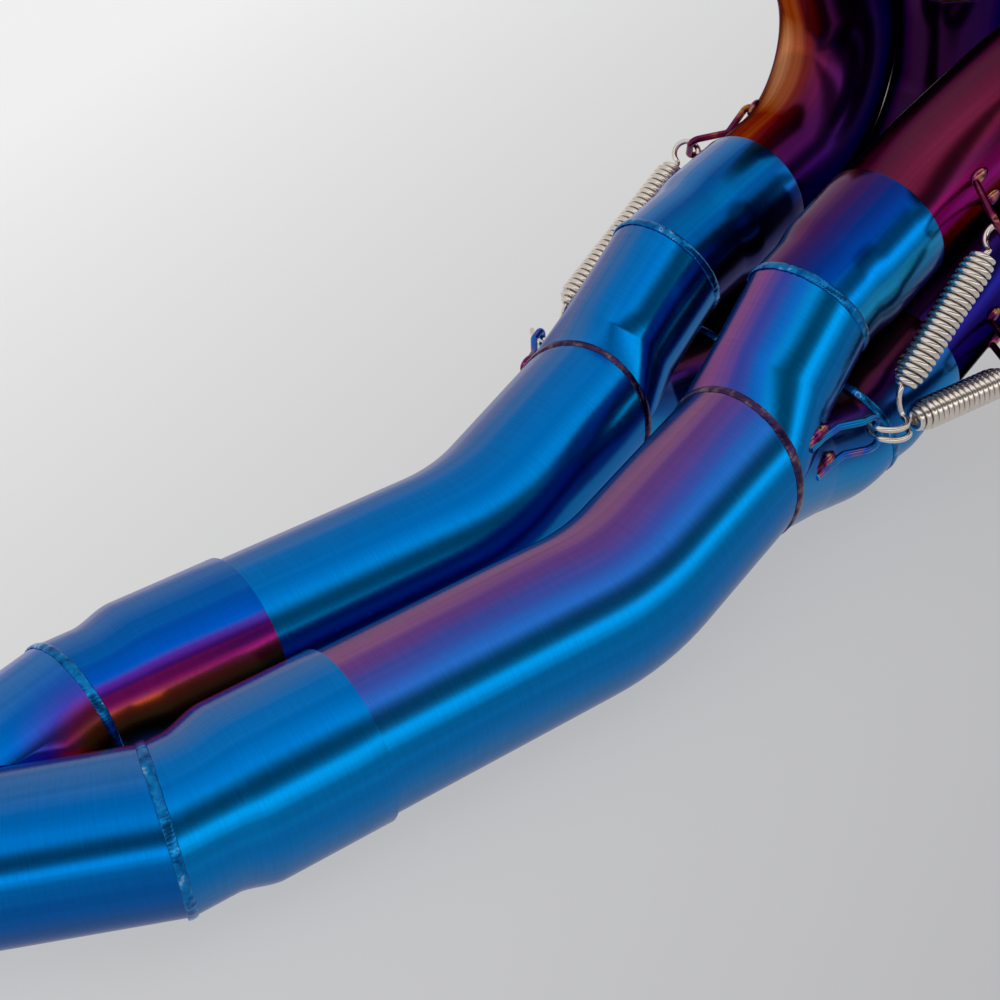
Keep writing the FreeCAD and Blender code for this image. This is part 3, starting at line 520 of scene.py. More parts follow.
for side in SIDES:
    branch = BRANCH[side]
    end, along, up, aside, cut = link_ends[side]
    axis = heading(branch["yaw"], branch["pitch"])
    socket_up, socket_side = up_and_side(axis)
    lift = up * (LINK_R - HEADER_R)
    upper_corner = end + (along * branch["reach"] + up * branch["rise"] + aside * branch["aside"]) * MM
    upper_mouth = upper_corner + axis * (branch["socket"] * MM)
    lower_mouth = upper_mouth - socket_up * SOCKET_PITCH + socket_side * LOWER_SIDE - axis * LOWER_SETBACK
    lower_weld = lower_mouth - axis * LOWER_SOCKET_LENGTH
    lower_corner = lower_weld - axis * BRANCH_TANGENT
    header_axes[side] = axis
    header_mouths[side] = {"upper": upper_mouth, "lower": lower_mouth}
    corners[side] = {"upper": upper_corner, "lower": lower_weld}
    upper_way = (upper_corner - end - lift).normalized()
    lower_way = (lower_corner - end + lift).normalized()
    ways[side] = {"upper": upper_way, "lower": lower_way}
    divide = (upper_way - lower_way).normalized()
    for level, start, way, corner in (
        ("upper", end + lift, upper_way, upper_corner), ("lower", end - lift, lower_way, lower_corner)
    ):
        def mouth_rings(inset):
            """The link pipe's end drawn over to the branch's own circle."""
            first = ring(end, along, LINK_R - inset, up, cut)
            last = ring(start + way * MOUTH_RUN, way, HEADER_R - inset, up)
            rings = []
            for step in range(13):
                share = step / 12
                rings.append([a.lerp(b, share) for a, b in zip(first, last)])
            return rings
        length = (corner - start).length - MOUTH_RUN
        if level == "upper":
            rest = [(start + way * (MOUTH_RUN + length * share), way, HEADER_R, up, None) for share in (0.25, 0.5)]
            rest.append((corner, way, HEADER_R, up, (way + axis).normalized()))
        else:
            turn = math.acos(way.dot(axis))
            inward = across(axis, way)
            bend_r = BRANCH_TANGENT / math.tan(turn / 2)
            first_run = length - BRANCH_TANGENT
            base = start + way * MOUTH_RUN
            rest = [(base + way * (first_run * share), way, HEADER_R, up, None) for share in (0.5,)]
            for step in range(9):
                part = turn * step / 8
                place = base + way * (first_run + bend_r * math.sin(part)) + inward * (bend_r * (1 - math.cos(part)))
                rest.append((place, way * math.cos(part) + inward * math.sin(part), HEADER_R, up, None))
        rings = mouth_rings(0) + [ring(c, a, r, u, k) for c, a, r, u, k in rest]
        rings += [ring(c, a, r - TUBE_WALL, u, k) for c, a, r, u, k in reversed(rest)]
        rings += list(reversed(mouth_rings(TUBE_WALL)))
        piece = skin(f"{side}_{level}_branch_skin", rings, (branch_finish[side, level], inside),
                     trim=[(end, divide * (-1 if level == "upper" else 1))])
        dress(piece, "blued_tube", f"{side}_{level}_branch")

# Header sockets.
# Expanded like the collector sockets, one welded to each branch: the header tubes slip in.
HEADER_GRIP, HEADER_TAPER = 26 * MM, 6.5 * MM
# Near upper socket: heat-blue with a bright painted highlight at level on the near side, dark painted shade over the
# top, and plum towards the far side.
near_socket = tempered_with_painted_light("blued_near_socket_painted_light", [
    (-180, BACK_BLUE), (-110, (0.03, 0.06, 0.24)), (-50, (0.12, 0.16, 0.28)), (-24, (0.05, 0.09, 0.18)),
    (-8, (0.01, 0.13, 0.32)), (6, (0.02, 0.40, 0.80)), (20, (0.0, 0.21, 0.60)), (32, (0.0, 0.22, 0.72)),
    (50, (0.0, 0.05, 0.32)), (64, (0.003, 0.035, 0.26)), (78, (0.022, 0.022, 0.19)), (91, (0.06, 0.015, 0.13)),
    (104, (0.15, 0.035, 0.12)), (118, (0.16, 0.045, 0.10)), (132, (0.04, 0.012, 0.04)), (180, BACK_BLUE)])
# Far upper socket: a darker copy of the heat-blue as painted shade, near black at level on the near side. A painted
# highlight lies just above it, with paler purple over the top.
far_socket = tempered_with_painted_light("blued_far_upper_painted_shade", [
    (-180, BACK_BLUE), (-110, (0.04, 0.08, 0.30)), (-40, (0.04, 0.04, 0.20)), (0, (0.01, 0.01, 0.07)),
    (16, (0.005, 0.03, 0.22)), (28, (0.0, 0.16, 0.56)), (44, (0.0, 0.09, 0.34)), (60, (0.0, 0.15, 0.45)),
    (76, (0.002, 0.10, 0.38)), (92, (0.04, 0.22, 0.58)), (108, (0.22, 0.34, 0.60)), (140, (0.24, 0.20, 0.50)),
    (180, BACK_BLUE)])
header_socket_finish = {("near", "upper"): near_socket, ("far", "upper"): far_socket,
                        ("near", "lower"): lower_branch, ("far", "lower"): lower_branch}
for side in SIDES:
    axis = header_axes[side]
    for level in ("upper", "lower"):
        corner = corners[side][level]
        cut = (ways[side]["upper"] + axis).normalized() if level == "upper" else None
        length = (header_mouths[side][level] - corner).length
        stations = socket_stations(corner, axis, length, HEADER_R, HEADER_R, HEADER_GRIP, HEADER_TAPER, UP, cut)
        piece = skin(f"{side}_{level}_socket_skin", walled(stations, SOCKET_WALL, start_rim=False),
                     (header_socket_finish[side, level], inside))
        dress(piece, "blued_tube", f"{side}_{level}_socket")

# Header tubes.
# The lower ends of the four header tubes, each with the one bend that the section has room for and cut square.
HEADER_SLIP, HEADER_END = 23 * MM, 34 * MM
DARK_EDGE = (0.10, 0.05, 0.10)
HEADER = {
    ("near", "upper"): {"radius": 63.6, "bend": 58.0, "lean": 51.0, "lead": 5.0},
    ("near", "lower"): {"radius": 63.6, "bend": 58.0, "lean": 51.0, "lead": 24.0},
    ("far", "upper"): {"radius": 42.4, "bend": 104.0, "lean": 5.0, "lead": 18.7},
    ("far", "lower"): {"radius": 42.4, "bend": 87.0, "lean": 8.0, "lead": 89.5},
}
# Header tube tints: heat colours laid by the turn about each tube. Their bright and dark bands are painted highlights
# and painted shade over the heat colour.
header_finish = {
    ("far", "upper"): tempered_with_painted_light("straw_to_indigo", edge=DARK_EDGE, stops=[
        (-180, (0.30, 0.16, 0.22)), (-90, (0.05, 0.01, 0.12)), (-40, (0.02, 0.01, 0.09)), (5, (0.012, 0.007, 0.06)),
        (29, (0.03, 0.005, 0.08)), (50, (0.06, 0.006, 0.07)), (64, (0.11, 0.009, 0.06)), (80, (0.20, 0.02, 0.02)),
        (96, (0.40, 0.10, 0.035)), (114, (0.56, 0.24, 0.12)), (138, (0.62, 0.40, 0.30)), (180, (0.30, 0.16, 0.22))]),
    ("near", "upper"): tempered_with_painted_light("plum", edge=DARK_EDGE, stops=[
        (-180, (0.06, 0.03, 0.12)), (-90, (0.20, 0.12, 0.10)), (-46, (0.34, 0.20, 0.13)), (-24, (0.22, 0.06, 0.015)),
        (-5, (0.12, 0.02, 0.02)), (9, (0.38, 0.012, 0.24)), (20, (0.24, 0.004, 0.11)), (32, (0.10, 0.008, 0.05)),
        (46, (0.11, 0.008, 0.03)), (66, (0.17, 0.016, 0.052)), (89, (0.115, 0.02, 0.052)), (110, (0.10, 0.022, 0.065)),
        (140, (0.05, 0.02, 0.08)), (180, (0.06, 0.03, 0.12))], wander=0.03),
    ("near", "lower"): tempered_with_painted_light("indigo", edge=DARK_EDGE, stops=[
        (-180, (0.02, 0.01, 0.08)), (-90, (0.06, 0.03, 0.06)), (-45, (0.18, 0.07, 0.03)), (-20, (0.07, 0.015, 0.06)),
        (10, (0.02, 0.01, 0.16)), (35, (0.012, 0.012, 0.20)), (60, (0.03, 0.006, 0.12)), (90, (0.06, 0.006, 0.06)),
        (120, (0.08, 0.01, 0.03)), (180, (0.02, 0.01, 0.08))]),
    ("far", "lower"): tempered_with_painted_light("dark_violet", edge=DARK_EDGE, stops=[
        (-180, (0.03, 0.006, 0.06)), (-90, (0.015, 0.006, 0.10)), (-40, (0.01, 0.008, 0.16)), (-5, (0.02, 0.006, 0.10)),
        (30, (0.03, 0.005, 0.07)), (60, (0.04, 0.005, 0.05)), (90, (0.03, 0.006, 0.04)), (130, (0.02, 0.008, 0.04)),
        (180, (0.03, 0.006, 0.06))]),
}
header_lines = {}
for place, tube in HEADER.items():
    side, level = place
    axis = header_axes[side]
    inward = leaning(axis, tube["lean"])
    header_lines[place] = (header_mouths[side][level], axis, inward, tube["lead"] * MM, tube["radius"] * MM)
    stations = bent_stations(header_mouths[side][level] - axis * HEADER_SLIP, axis, inward, HEADER_R,
                             HEADER_SLIP + tube["lead"] * MM, tube["radius"] * MM, tube["bend"], HEADER_END)
    piece = skin(f"{side}_{level}_header_skin", walled(stations, TUBE_WALL), (header_finish[place], inside),
                 -tube["lean"])
    dress(piece, "header_tube", f"{side}_{level}_header")

# Weld beads.
# A bead laid by hand at each joint: rounded ripples that overlap in a row. They are copies of one drop set on points
# along the joint, each turned to the tube's surface.


def bead_tree():
    """Sets one drop on every point of a line, turned by the two directions kept on the points."""
    group = bpy.data.node_groups.new("bead", "GeometryNodeTree")
    group.interface.new_socket("Line", in_out="INPUT", socket_type="NodeSocketGeometry")
    for name, kind in (("Drop size", "NodeSocketVector"), ("Unevenness", "NodeSocketFloat"), ("Seed", "NodeSocketInt"),
                       ("Finish", "NodeSocketMaterial")):
        group.interface.new_socket(name, in_out="INPUT", socket_type=kind)
    group.interface.new_socket("Bead", in_out="OUTPUT", socket_type="NodeSocketGeometry")
    entry, leave = node(group, "NodeGroupInput"), node(group, "NodeGroupOutput")
    points = node(group, "GeometryNodeMeshToPoints")
    group.links.new(entry.outputs["Line"], points.inputs["Mesh"])
    drop = node(group, "GeometryNodeMeshUVSphere")
    drop.inputs["Segments"].default_value, drop.inputs["Rings"].default_value = 14, 8
    drop.inputs["Radius"].default_value = 1.0
    turn = node(group, "FunctionNodeAxesToRotation")
    turn.primary_axis, turn.secondary_axis = "Z", "X"
    for name, entry_name in (("outward", "Primary Axis"), ("forward", "Secondary Axis")):
        kept = node(group, "GeometryNodeInputNamedAttribute", data_type="FLOAT_VECTOR")
        kept.inputs["Name"].default_value = name
        group.links.new(kept.outputs["Attribute"], turn.inputs[entry_name])
    chance = node(group, "FunctionNodeRandomValue", data_type="FLOAT")
    floats = [entry_ for entry_ in chance.inputs if entry_.type == "VALUE" and entry_.enabled]
    low = sums_in(group, "SUBTRACT", 1.0, entry.outputs["Unevenness"])
    high = sums_in(group, "ADD", 1.0, entry.outputs["Unevenness"])
    group.links.new(low, floats[0])
    group.links.new(high, floats[1])
    group.links.new(entry.outputs["Seed"], chance.inputs["Seed"])
    scale = node(group, "ShaderNodeVectorMath", operation="SCALE")
    group.links.new(entry.outputs["Drop size"], scale.inputs[0])
    group.links.new([out for out in chance.outputs if out.type == "VALUE" and out.enabled][0], scale.inputs["Scale"])
    copies = node(group, "GeometryNodeInstanceOnPoints")
    group.links.new(points.outputs[0], copies.inputs["Points"])
    group.links.new(drop.outputs["Mesh"], copies.inputs["Instance"])
    group.links.new(turn.outputs[0], copies.inputs["Rotation"])
    group.links.new(scale.outputs[0], copies.inputs["Scale"])
    real = node(group, "GeometryNodeRealizeInstances")
    group.links.new(copies.outputs[0], real.inputs[0])
    smooth = node(group, "GeometryNodeSetShadeSmooth")
    group.links.new(real.outputs[0], smooth.inputs[0])
    finish = node(group, "GeometryNodeSetMaterial")
    group.links.new(smooth.outputs[0], finish.inputs["Geometry"])
    group.links.new(entry.outputs["Finish"], finish.inputs["Material"])
    group.links.new(finish.outputs[0], leave.inputs[0])
    return group


def sums_in(group, operation, first, second):
    return sums(group, operation, first, second)


def grown(name, mesh, group, inputs):
    """Mesh that a node tree makes from a line of points, as an object of its own."""
    seed_object = bpy.data.objects.new(name + "_line", mesh)
    bpy.context.collection.objects.link(seed_object)
    modifier = seed_object.modifiers.new("grow", "NODES")
    modifier.node_group = group
    for socket in group.interface.items_tree:
        if socket.item_type == "SOCKET" and socket.in_out == "INPUT" and socket.name in inputs:
            modifier[socket.identifier] = inputs[socket.name]
    bpy.context.view_layer.update()
    ready = seed_object.evaluated_get(bpy.context.evaluated_depsgraph_get())
    made = bpy.data.meshes.new_from_object(ready)
    made.name = name
    bpy.data.objects.remove(seed_object)
    piece = bpy.data.objects.new(name, made)
    bpy.context.collection.objects.link(piece)
    return piece


def seam(name, sections, pitch):
    """Line of points along a joint with the outward and forward directions. Sections are its corner points, each with
    the tube's center line there."""
    points, outward = [], []
    for point, out in sections:
        points.append(point)
        outward.append(out)
    total = sum((after - before).length for before, after in zip(points, points[1:] + points[:1]))
    count = round(total / pitch)
    verts, outs, forwards = [], [], []
    walked, index = 0.0, 0
    for number in range(count):
        goal = total * number / count
        while True:
            here, there = points[index % len(points)], points[(index + 1) % len(points)]
            step = (there - here).length
            if walked + step >= goal:
                break
            walked += step
            index += 1
        share = (goal - walked) / step
        verts.append(here.lerp(there, share))
        outs.append(outward[index % len(points)].lerp(outward[(index + 1) % len(points)], share).normalized())
        forwards.append((there - here).normalized())
    mesh = bpy.data.meshes.new(name)
    mesh.from_pydata(verts, [], [])
    for label, values in (("outward", outs), ("forward", forwards)):
        layer = mesh.attributes.new(label, "FLOAT_VECTOR", "POINT")
        for value, vector in zip(layer.data, values):
            value.vector = vector
    return mesh


weld_group = bead_tree()
# Collector and socket beads: deep blue with lighter blue spots. The pale silver-blue spots are painted glints on the
# ripples.
weld_blue = plain_metal("weld_blue", (0.0, 0.10, 0.42), 0.24, 0.4, 300.0, [(0.62, (0.01, 0.24, 0.60)),
                                                                         (0.69, (0.30, 0.48, 0.70))])
weld_brown = plain_metal("weld_plum", (0.03, 0.028, 0.11), 0.26, 0.4, 260.0, [(0.54, (0.07, 0.03, 0.09)),
                                                                            (0.68, (0.20, 0.13, 0.12))])
hook_weld = plain_metal("weld_at_hooks", (0.05, 0.010, 0.02), 0.22, 0.5, 240.0, [(0.52, (0.20, 0.012, 0.14)),
                                                                               (0.66, (0.62, 0.30, 0.08))])
BEAD_HALF, BEAD_PITCH = 1.6 * MM, 1.35 * MM


def lay_bead(name, center, axis, radius, cut, finish, half, pitch, node_name, number):
    """Bead round a tube's oblique cut."""
    sections = []
    for point, square in zip(ring(center, axis, radius, UP, cut), ring(center, axis, radius, UP)):
        sections.append((point, (square - center).normalized()))
    piece = grown(name, seam(name, sections, pitch), weld_group, {
        "Drop size": (1.7 * pitch, half, 0.36 * half), "Unevenness": 0.07, "Seed": number, "Finish": finish})
    dress(piece, "weld_metal", node_name)


for number, side in enumerate(SIDES):
    end, along, up, aside, cut = link_ends[side]
    collector_cut = (rearward[side] * -1 + pipe_axes[side]).normalized()
    lay_bead(f"{side}_collector_bead_skin", mitres[side], pipe_axes[side], COLLECTOR_R, collector_cut, weld_blue,
             BEAD_HALF, BEAD_PITCH, f"{side}_collector_bead", number)
    lay_bead(f"{side}_mouth_bead_skin", end, along, LINK_R, cut, weld_brown, 1.1 * BEAD_HALF, 1.3 * BEAD_PITCH,
             f"{side}_mouth_bead", number + 2)
    for level in ("upper", "lower"):
        socket_cut = (ways[side]["upper"] + header_axes[side]).normalized() if level == "upper" else header_axes[side]
        lay_bead(f"{side}_{level}_bead_skin", corners[side][level], header_axes[side], HEADER_R, socket_cut, weld_blue,
                 BEAD_HALF, 0.9 * BEAD_PITCH, f"{side}_{level}_bead", number + 4)

# Spring hooks.
# Round rod bent to a narrow U and welded down by both ends, then tinted by the heat. A drop of weld holds each foot.
HOOK_R, HOOK_HALF, HOOK_CORNER, HOOK_SINK, HOOK_LOW = 1.25 * MM, 5.75 * MM, 3.0 * MM, 5.0 * MM, 1.6 * MM


def rounded(points, radius, steps=8):
    """Points along straight runs joined by arcs."""
    line = [points[0]]
    for before, corner, after in zip(points, points[1:], points[2:]):
        into, out = (corner - before).normalized(), (after - corner).normalized()
        turn = into.angle(out)
        reach = radius * math.tan(turn / 2)
        hub = corner - into * reach + (out - into * into.dot(out)).normalized() * radius
        first = corner - into * reach - hub
        spin_axis = into.cross(out).normalized()
        for step in range(steps + 1):
            line.append(hub + Matrix.Rotation(turn * step / steps, 3, spin_axis) @ first)
    line.append(points[-1])
    return line


def wire_tree():
    """Draws a round wire along a line, with flat ends."""
    group = bpy.data.node_groups.new("wire", "GeometryNodeTree")
    group.interface.new_socket("Line", in_out="INPUT", socket_type="NodeSocketGeometry")
    for name, kind in (("Radius", "NodeSocketFloat"), ("Sides", "NodeSocketInt"), ("Finish", "NodeSocketMaterial")):
        group.interface.new_socket(name, in_out="INPUT", socket_type=kind)
    group.interface.new_socket("Wire", in_out="OUTPUT", socket_type="NodeSocketGeometry")
    entry, leave = node(group, "NodeGroupInput"), node(group, "NodeGroupOutput")
    path = node(group, "GeometryNodeMeshToCurve")
    group.links.new(entry.outputs["Line"], path.inputs[0])
    outline = node(group, "GeometryNodeCurvePrimitiveCircle", mode="RADIUS")
    group.links.new(entry.outputs["Sides"], outline.inputs["Resolution"])
    group.links.new(entry.outputs["Radius"], outline.inputs["Radius"])
    drawn = node(group, "GeometryNodeCurveToMesh")
    group.links.new(path.outputs[0], drawn.inputs["Curve"])
    group.links.new(outline.outputs["Curve"], drawn.inputs["Profile Curve"])
    drawn.inputs["Fill Caps"].default_value = True
    real = node(group, "GeometryNodeRealizeInstances")
    group.links.new(drawn.outputs[0], real.inputs[0])
    smooth = node(group, "GeometryNodeSetShadeSmooth")
    group.links.new(real.outputs[0], smooth.inputs[0])
    finish = node(group, "GeometryNodeSetMaterial")
    group.links.new(smooth.outputs[0], finish.inputs["Geometry"])
    group.links.new(entry.outputs["Finish"], finish.inputs["Material"])
    group.links.new(finish.outputs[0], leave.inputs[0])
    return group


def wire(name, points, radius, finish, sides=16):
    mesh = bpy.data.meshes.new(name)
    mesh.from_pydata(points, [(index, index + 1) for index in range(len(points) - 1)], [])
    piece = grown(name, mesh, wire_group, {"Radius": radius, "Sides": sides, "Finish": finish})
    piece.data.set_sharp_from_angle(angle=math.radians(50))
    return piece


def turned_outward(axis, side, turn):
    """Away from the pipe pair's middle, turned upward; and the direction across it."""
    up, aside = up_and_side(axis)
    level_way = aside * (1 if side == "near" else -1)
    angle = math.radians(turn)
    return level_way * math.cos(angle) + up * math.sin(angle), up * math.cos(angle) - level_way * math.sin(angle)


def on_header(place, distance):
    mouth, axis, inward, lead, radius = header_lines[place]
    if distance <= lead:
        return mouth + axis * distance, axis
    angle = (distance - lead) / radius
    center = mouth + axis * (lead + radius * math.sin(angle)) + inward * (radius * (1 - math.cos(angle)))
    return center, axis * math.cos(angle) + inward * math.sin(angle)


wire_group = wire_tree()
hook_blue = plain_metal("hook_blue", (0.0, 0.34, 0.72), 0.16, 0.3, 90.0, [(0.56, (0.02, 0.10, 0.50)),
                                                                        (0.68, (0.30, 0.10, 0.16))])
hook_plum = plain_metal("hook_plum", (0.07, 0.006, 0.07), 0.16, 0.5, 90.0, [(0.56, (0.20, 0.02, 0.08)),
                                                                          (0.68, (0.60, 0.24, 0.05))])
LINK_HOOK = {
    "near": {"station": 17.0, "depth": 23.0, "drop": 5.0, "turn": 0.0, "climb": 5.5, "tail": 8.0},
    "far": {"station": 8.5, "depth": 25.4, "drop": 0.0, "turn": 10.0, "climb": 0.5, "tail": 2.5},
}
HEADER_HOOK = {
    ("near", "upper"): {"station": 31.0, "turn": -8.0, "knee": None, "reach": 9.5, "height": 17.0},
    ("near", "lower"): {"station": 25.0, "turn": -8.0, "knee": None, "reach": 13.0, "height": 18.0},
    ("far", "upper"): {"station": 32.0, "turn": 30.0, "knee": 14.0, "reach": 24.0, "height": 11.0},
    ("far", "lower"): {"station": 28.0, "turn": 10.0, "knee": 14.0, "reach": 24.0, "height": 11.0},
}
LINK_LEG = [(-1, 0.9, 0.9), (6, 2.0, 0.75), (12.5, 6.2, 0.4), (19, 7, 0)]
FOOT_DROP = (3.8 * MM, 2.4 * MM, 1.6 * MM)


def foot_weld(name, spots, along, outward, drop):
    """Drops of weld that hold a hook's rod down, each set on a spot and drawn out along the rod."""
    mesh = bpy.data.meshes.new(name)
    mesh.from_pydata(spots, [], [])
    for label, vector in (("outward", outward), ("forward", along)):
        layer = mesh.attributes.new(label, "FLOAT_VECTOR", "POINT")
        for value in layer.data:
            value.vector = vector
    piece = grown(name, mesh, weld_group, {"Drop size": drop, "Unevenness": 0.15, "Seed": 5, "Finish": hook_weld})
    dress(piece, "weld_metal")


def hook(name, foot, along, outward, aside, leg, climb, finish, node_name):
    """Rod along a leg's line of (distance along, height, share of the climb), across at its end and back."""
    def side_of(sign):
        return [foot + along * distance + outward * height + aside * (climb * share + sign * HOOK_HALF)
                for distance, height, share in leg]
    first, second = side_of(1), side_of(-1)
    dress(wire(name, rounded(first + second[::-1], HOOK_CORNER), HOOK_R, finish), "hook_rod", node_name)
    return (first[-1] + second[-1]) / 2, aside, [first[:2], second[:2]]


tips = {}
for side in SIDES:
    end, along, up, aside, cut = link_ends[side]
    place = LINK_HOOK[side]
    outward, beside = turned_outward(along, side, place["turn"])
    foot = end + (along * place["station"] + outward * place["depth"] - up * place["drop"]) * MM
    leg = [(distance * MM, height * MM, share) for distance, height, share in [(-place["tail"], 0.6, 1.0)] + LINK_LEG]
    *tips[side], feet = hook(f"{side}_link_hook_skin", foot, along, outward, beside, leg, place["climb"] * MM, hook_blue,
                             f"{side}_link_hook")
    spots = [first.lerp(second, share) - outward * (0.9 * MM) + beside * (1.2 * MM)
             for first, second in feet for share in (0.35, 0.75, 1.15)]
    foot_weld(f"{side}_link_hook_weld", spots, along, outward, FOOT_DROP)
    for level in ("upper", "lower"):
        place = HEADER_HOOK[side, level]
        center, way = on_header((side, level), place["station"] * MM)
        outward, beside = turned_outward(way, side, place["turn"])
        leg = [(0, -HOOK_SINK, 0), (place["reach"] * MM, place["height"] * MM, 0)]
        if place["knee"]:
            leg[1:1] = [(0, HOOK_LOW, 0), (place["knee"] * MM, HOOK_LOW, 0)]
        *tips[side, level], feet = hook(f"{side}_{level}_hook_skin", center + outward * HEADER_R, way * -1, outward,
                                        beside, leg, 0, hook_plum, f"{side}_{level}_header_hook")
        spots = [center + outward * HEADER_R + beside * (sign * HOOK_HALF) - outward * (0.8 * MM) for sign in (1, -1)]
        foot_weld(f"{side}_{level}_hook_weld", spots, way, outward, FOOT_DROP)

# Springs.
# Four tension springs hold the header tubes in their sockets: close coils of bright wire, drawn in at both ends. A wide
# loop hangs on each hook, and its shank bends up into the coil.
WIRE_R, SPRING_R, COIL_PITCH, LOOP_OFFSET, LOOP_TILT = 1.0 * MM, 5.4 * MM, 2.3 * MM, 2.0 * MM, math.radians(20)
LINK_LOOP_R, HEADER_LOOP_R, LINK_SHANK, HEADER_SHANK = 6.5 * MM, 4.4 * MM, 15.0 * MM, 9.0 * MM
DRAWN_IN, END_SHARE, COIL_STEPS, HOOKED = 2.2, 0.66, 48, 235
spring_steel = plain_metal("spring_steel", (0.80, 0.73, 0.66), 0.14, 0.06, 300.0)


def loop_end(tip, bar, pull, radius, coil_center):
    """Open loop round a hook's bar, then the shank that bends from it to the coil's middle."""
    lean = across(pull, bar)
    normal = bar * math.cos(LOOP_TILT) + lean * math.sin(LOOP_TILT)
    toward = across(pull, normal)
    beside = toward.cross(normal)
    hub = tip + toward * (radius - HOOK_R - WIRE_R)
    turns = [math.radians(HOOKED - (HOOKED - 20) * step / 30) for step in range(31)]
    line = [hub + (toward * math.cos(turn) + beside * math.sin(turn)) * radius for turn in turns]
    leaving = (line[-1] - line[-2]).normalized()
    reach = (coil_center - line[-1]).length
    for step in range(1, 10):
        share = step / 10
        bend = (line[30] * (1 - share) ** 3 + (line[30] + leaving * (0.35 * reach)) * (3 * share * (1 - share) ** 2)
                + (coil_center - pull * (0.4 * reach)) * (3 * share ** 2 * (1 - share)) + coil_center * share ** 3)
        line.append(bend)
    return line


def spring(name, start, start_bar, finish, finish_bar, node_name):
    pull = (finish - start).normalized()
    coil_start, coil_end = start + pull * LINK_SHANK, finish - pull * HEADER_SHANK
    normal = across(start_bar, pull)
    beside = normal.cross(pull)
    length = (coil_end - coil_start).length
    turns = round(length / COIL_PITCH)
    line = loop_end(start, start_bar, pull, LINK_LOOP_R, coil_start)
    steps = turns * COIL_STEPS
    for step in range(steps + 1):
        turn = step / COIL_STEPS
        from_end = min(turn, turns - turn)
        drawn = min(1.0, END_SHARE + (1 - END_SHARE) * from_end / DRAWN_IN) * min(1.0, 0.1 + from_end * 4)
        angle = 2 * math.pi * turn
        at = coil_start + pull * (length * turn / turns)
        line.append(at + (beside * math.cos(angle) + normal * math.sin(angle)) * ((SPRING_R - WIRE_R) * drawn))
    line += reversed(loop_end(finish, finish_bar, pull * -1, HEADER_LOOP_R, coil_end))
    dress(wire(name, line, WIRE_R, spring_steel, 24), "spring_steel", node_name)


for side in SIDES:
    tip, bar_way = tips[side]
    for level, sign in (("upper", 1), ("lower", -1)):
        end_tip, end_bar = tips[side, level]
        spring(f"{side}_{level}_spring_skin", tip + bar_way * (sign * LOOP_OFFSET), bar_way, end_tip, end_bar,
               f"{side}_{level}_spring")

# Camera, at the photograph's viewing angle.
CAMERA_PLACE = Vector((46.469, -461.86, 344.461)) * MM
CAMERA_AIM = Vector((314.24, 21.93, 0)) * MM
CAMERA_ROLL = 9.143
LENS, SENSOR = 72, 36
view = bpy.data.cameras.new("view")
view.lens, view.sensor_width = LENS, SENSOR
view.clip_start = 0.01
camera = bpy.data.objects.new("view", view)
bpy.context.collection.objects.link(camera)
look = (CAMERA_AIM - CAMERA_PLACE).normalized()
level_right = look.cross(UP).normalized()
level_up = level_right.cross(look)
roll = math.radians(CAMERA_ROLL)
camera_up = level_up * math.cos(roll) + level_right * math.sin(roll)
camera_right = look.cross(camera_up)
camera.matrix_world = Matrix((
    (camera_right.x, camera_up.x, -look.x, CAMERA_PLACE.x),
    (camera_right.y, camera_up.y, -look.y, CAMERA_PLACE.y),
    (camera_right.z, camera_up.z, -look.z, CAMERA_PLACE.z),
    (0, 0, 0, 1),
))
bpy.context.scene.camera = camera

# Floor and light.
# A pale studio sweep under a long overhead softbox, with a dark gap and a bright strip low on the near side.
FLOOR_HALF = 6.0
floor_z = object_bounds()[0][2]
floor_mesh = bpy.data.meshes.new("floor")
floor_mesh.from_pydata([(-FLOOR_HALF, -FLOOR_HALF, floor_z), (FLOOR_HALF, -FLOOR_HALF, floor_z),
                        (FLOOR_HALF, FLOOR_HALF, floor_z), (-FLOOR_HALF, FLOOR_HALF, floor_z)], [], [(0, 1, 2, 3)])
floor = bpy.data.objects.new("floor", floor_mesh)
bpy.context.collection.objects.link(floor)
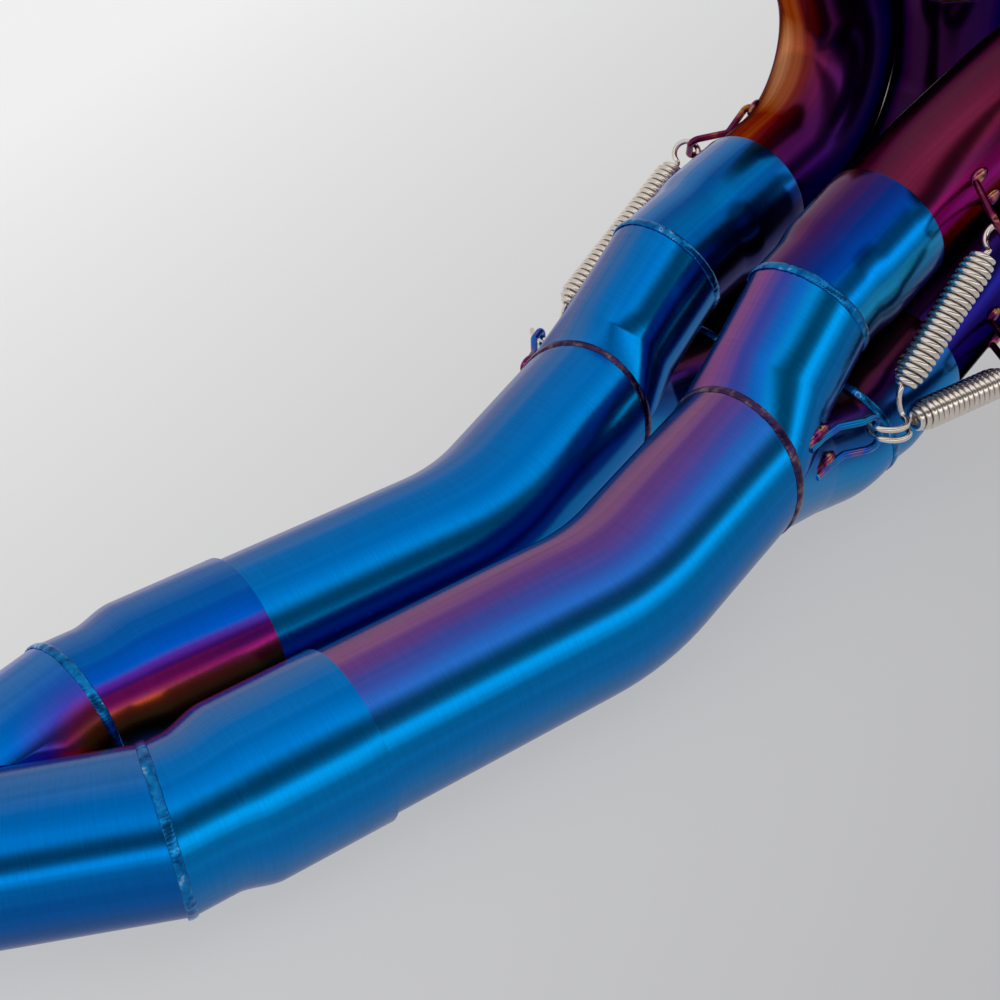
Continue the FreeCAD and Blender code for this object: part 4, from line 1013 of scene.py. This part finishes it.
# The floor's colour is painted light: pale on the far left, falling off to grey on the near right as the light falls
# off. It also glows for camera and reflection rays, carrying the same painted falloff and paling the object's shadow.
paper = bpy.data.materials.new("paper")
tree, surface = tree_of(paper)
place = node(tree, "ShaderNodeTexCoord").outputs["Object"]
slope = node(tree, "ShaderNodeVectorMath", operation="DOT_PRODUCT")
tree.links.new(place, slope.inputs[0])
slope.inputs[1].default_value = (-0.45, 0.89, 0)
fade = node(tree, "ShaderNodeMapRange")
fade.inputs["From Min"].default_value, fade.inputs["From Max"].default_value = -0.50, 0.36
tree.links.new(slope.outputs["Value"], fade.inputs["Value"])
painted_falloff = node(tree, "ShaderNodeValToRGB")
painted_falloff.color_ramp.elements[0].color, painted_falloff.color_ramp.elements[1].color = (0.44, 0.44, 0.455, 1), (0.97, 0.97, 0.97, 1)
tree.links.new(fade.outputs[0], painted_falloff.inputs[0])
tree.links.new(painted_falloff.outputs[0], surface.inputs["Base Color"])
surface.inputs["Roughness"].default_value = 0.9
surface.inputs["Specular IOR Level"].default_value = 0.0
glow = node(tree, "ShaderNodeEmission")
tree.links.new(painted_falloff.outputs[0], glow.inputs["Color"])
seen = node(tree, "ShaderNodeLightPath")
part = sums(tree, "MULTIPLY", sums(tree, "MAXIMUM", seen.outputs["Is Camera Ray"], seen.outputs["Is Glossy Ray"]), 0.7)
blend = node(tree, "ShaderNodeMixShader")
tree.links.new(part, blend.inputs[0])
tree.links.new(surface.outputs[0], blend.inputs[1])
tree.links.new(glow.outputs[0], blend.inputs[2])
tree.links.new(blend.outputs[0], tree.nodes["Material Output"].inputs["Surface"])
floor_mesh.materials.append(paper)
world = bpy.data.worlds.new("room")
bpy.context.scene.world = world
world.use_nodes = True
tree = world.node_tree
way = node(tree, "ShaderNodeSeparateXYZ")
tree.links.new(node(tree, "ShaderNodeTexCoord").outputs["Generated"], way.inputs[0])
height = sums(tree, "ARCTAN2", way.outputs[2], sums(tree, "MULTIPLY", way.outputs[1], -1.0))
share = sums(tree, "DIVIDE", height, math.pi)
rise = node(tree, "ShaderNodeValToRGB")
rise.color_ramp.elements.remove(rise.color_ramp.elements[1])
LIGHT = [(0, 0.75), (7, 0.85), (12, 1.45), (19, 1.45), (24, 0.34), (31, 0.15), (44, 0.15), (52, 0.50), (58, 1.05),
         (70, 0.90), (90, 0.70), (125, 0.62), (160, 0.60), (180, 0.62)]
for index, (degrees, level) in enumerate(LIGHT):
    element = rise.color_ramp.elements[0] if index == 0 else rise.color_ramp.elements.new(degrees / 180)
    element.position, element.color = degrees / 180, (level, level, level, 1)
tree.links.new(share, rise.inputs[0])
tree.links.new(rise.outputs[0], tree.nodes["Background"].inputs[0])
tree.nodes["Background"].inputs[1].default_value = 1.0
bpy.context.scene.view_settings.view_transform = "Standard"
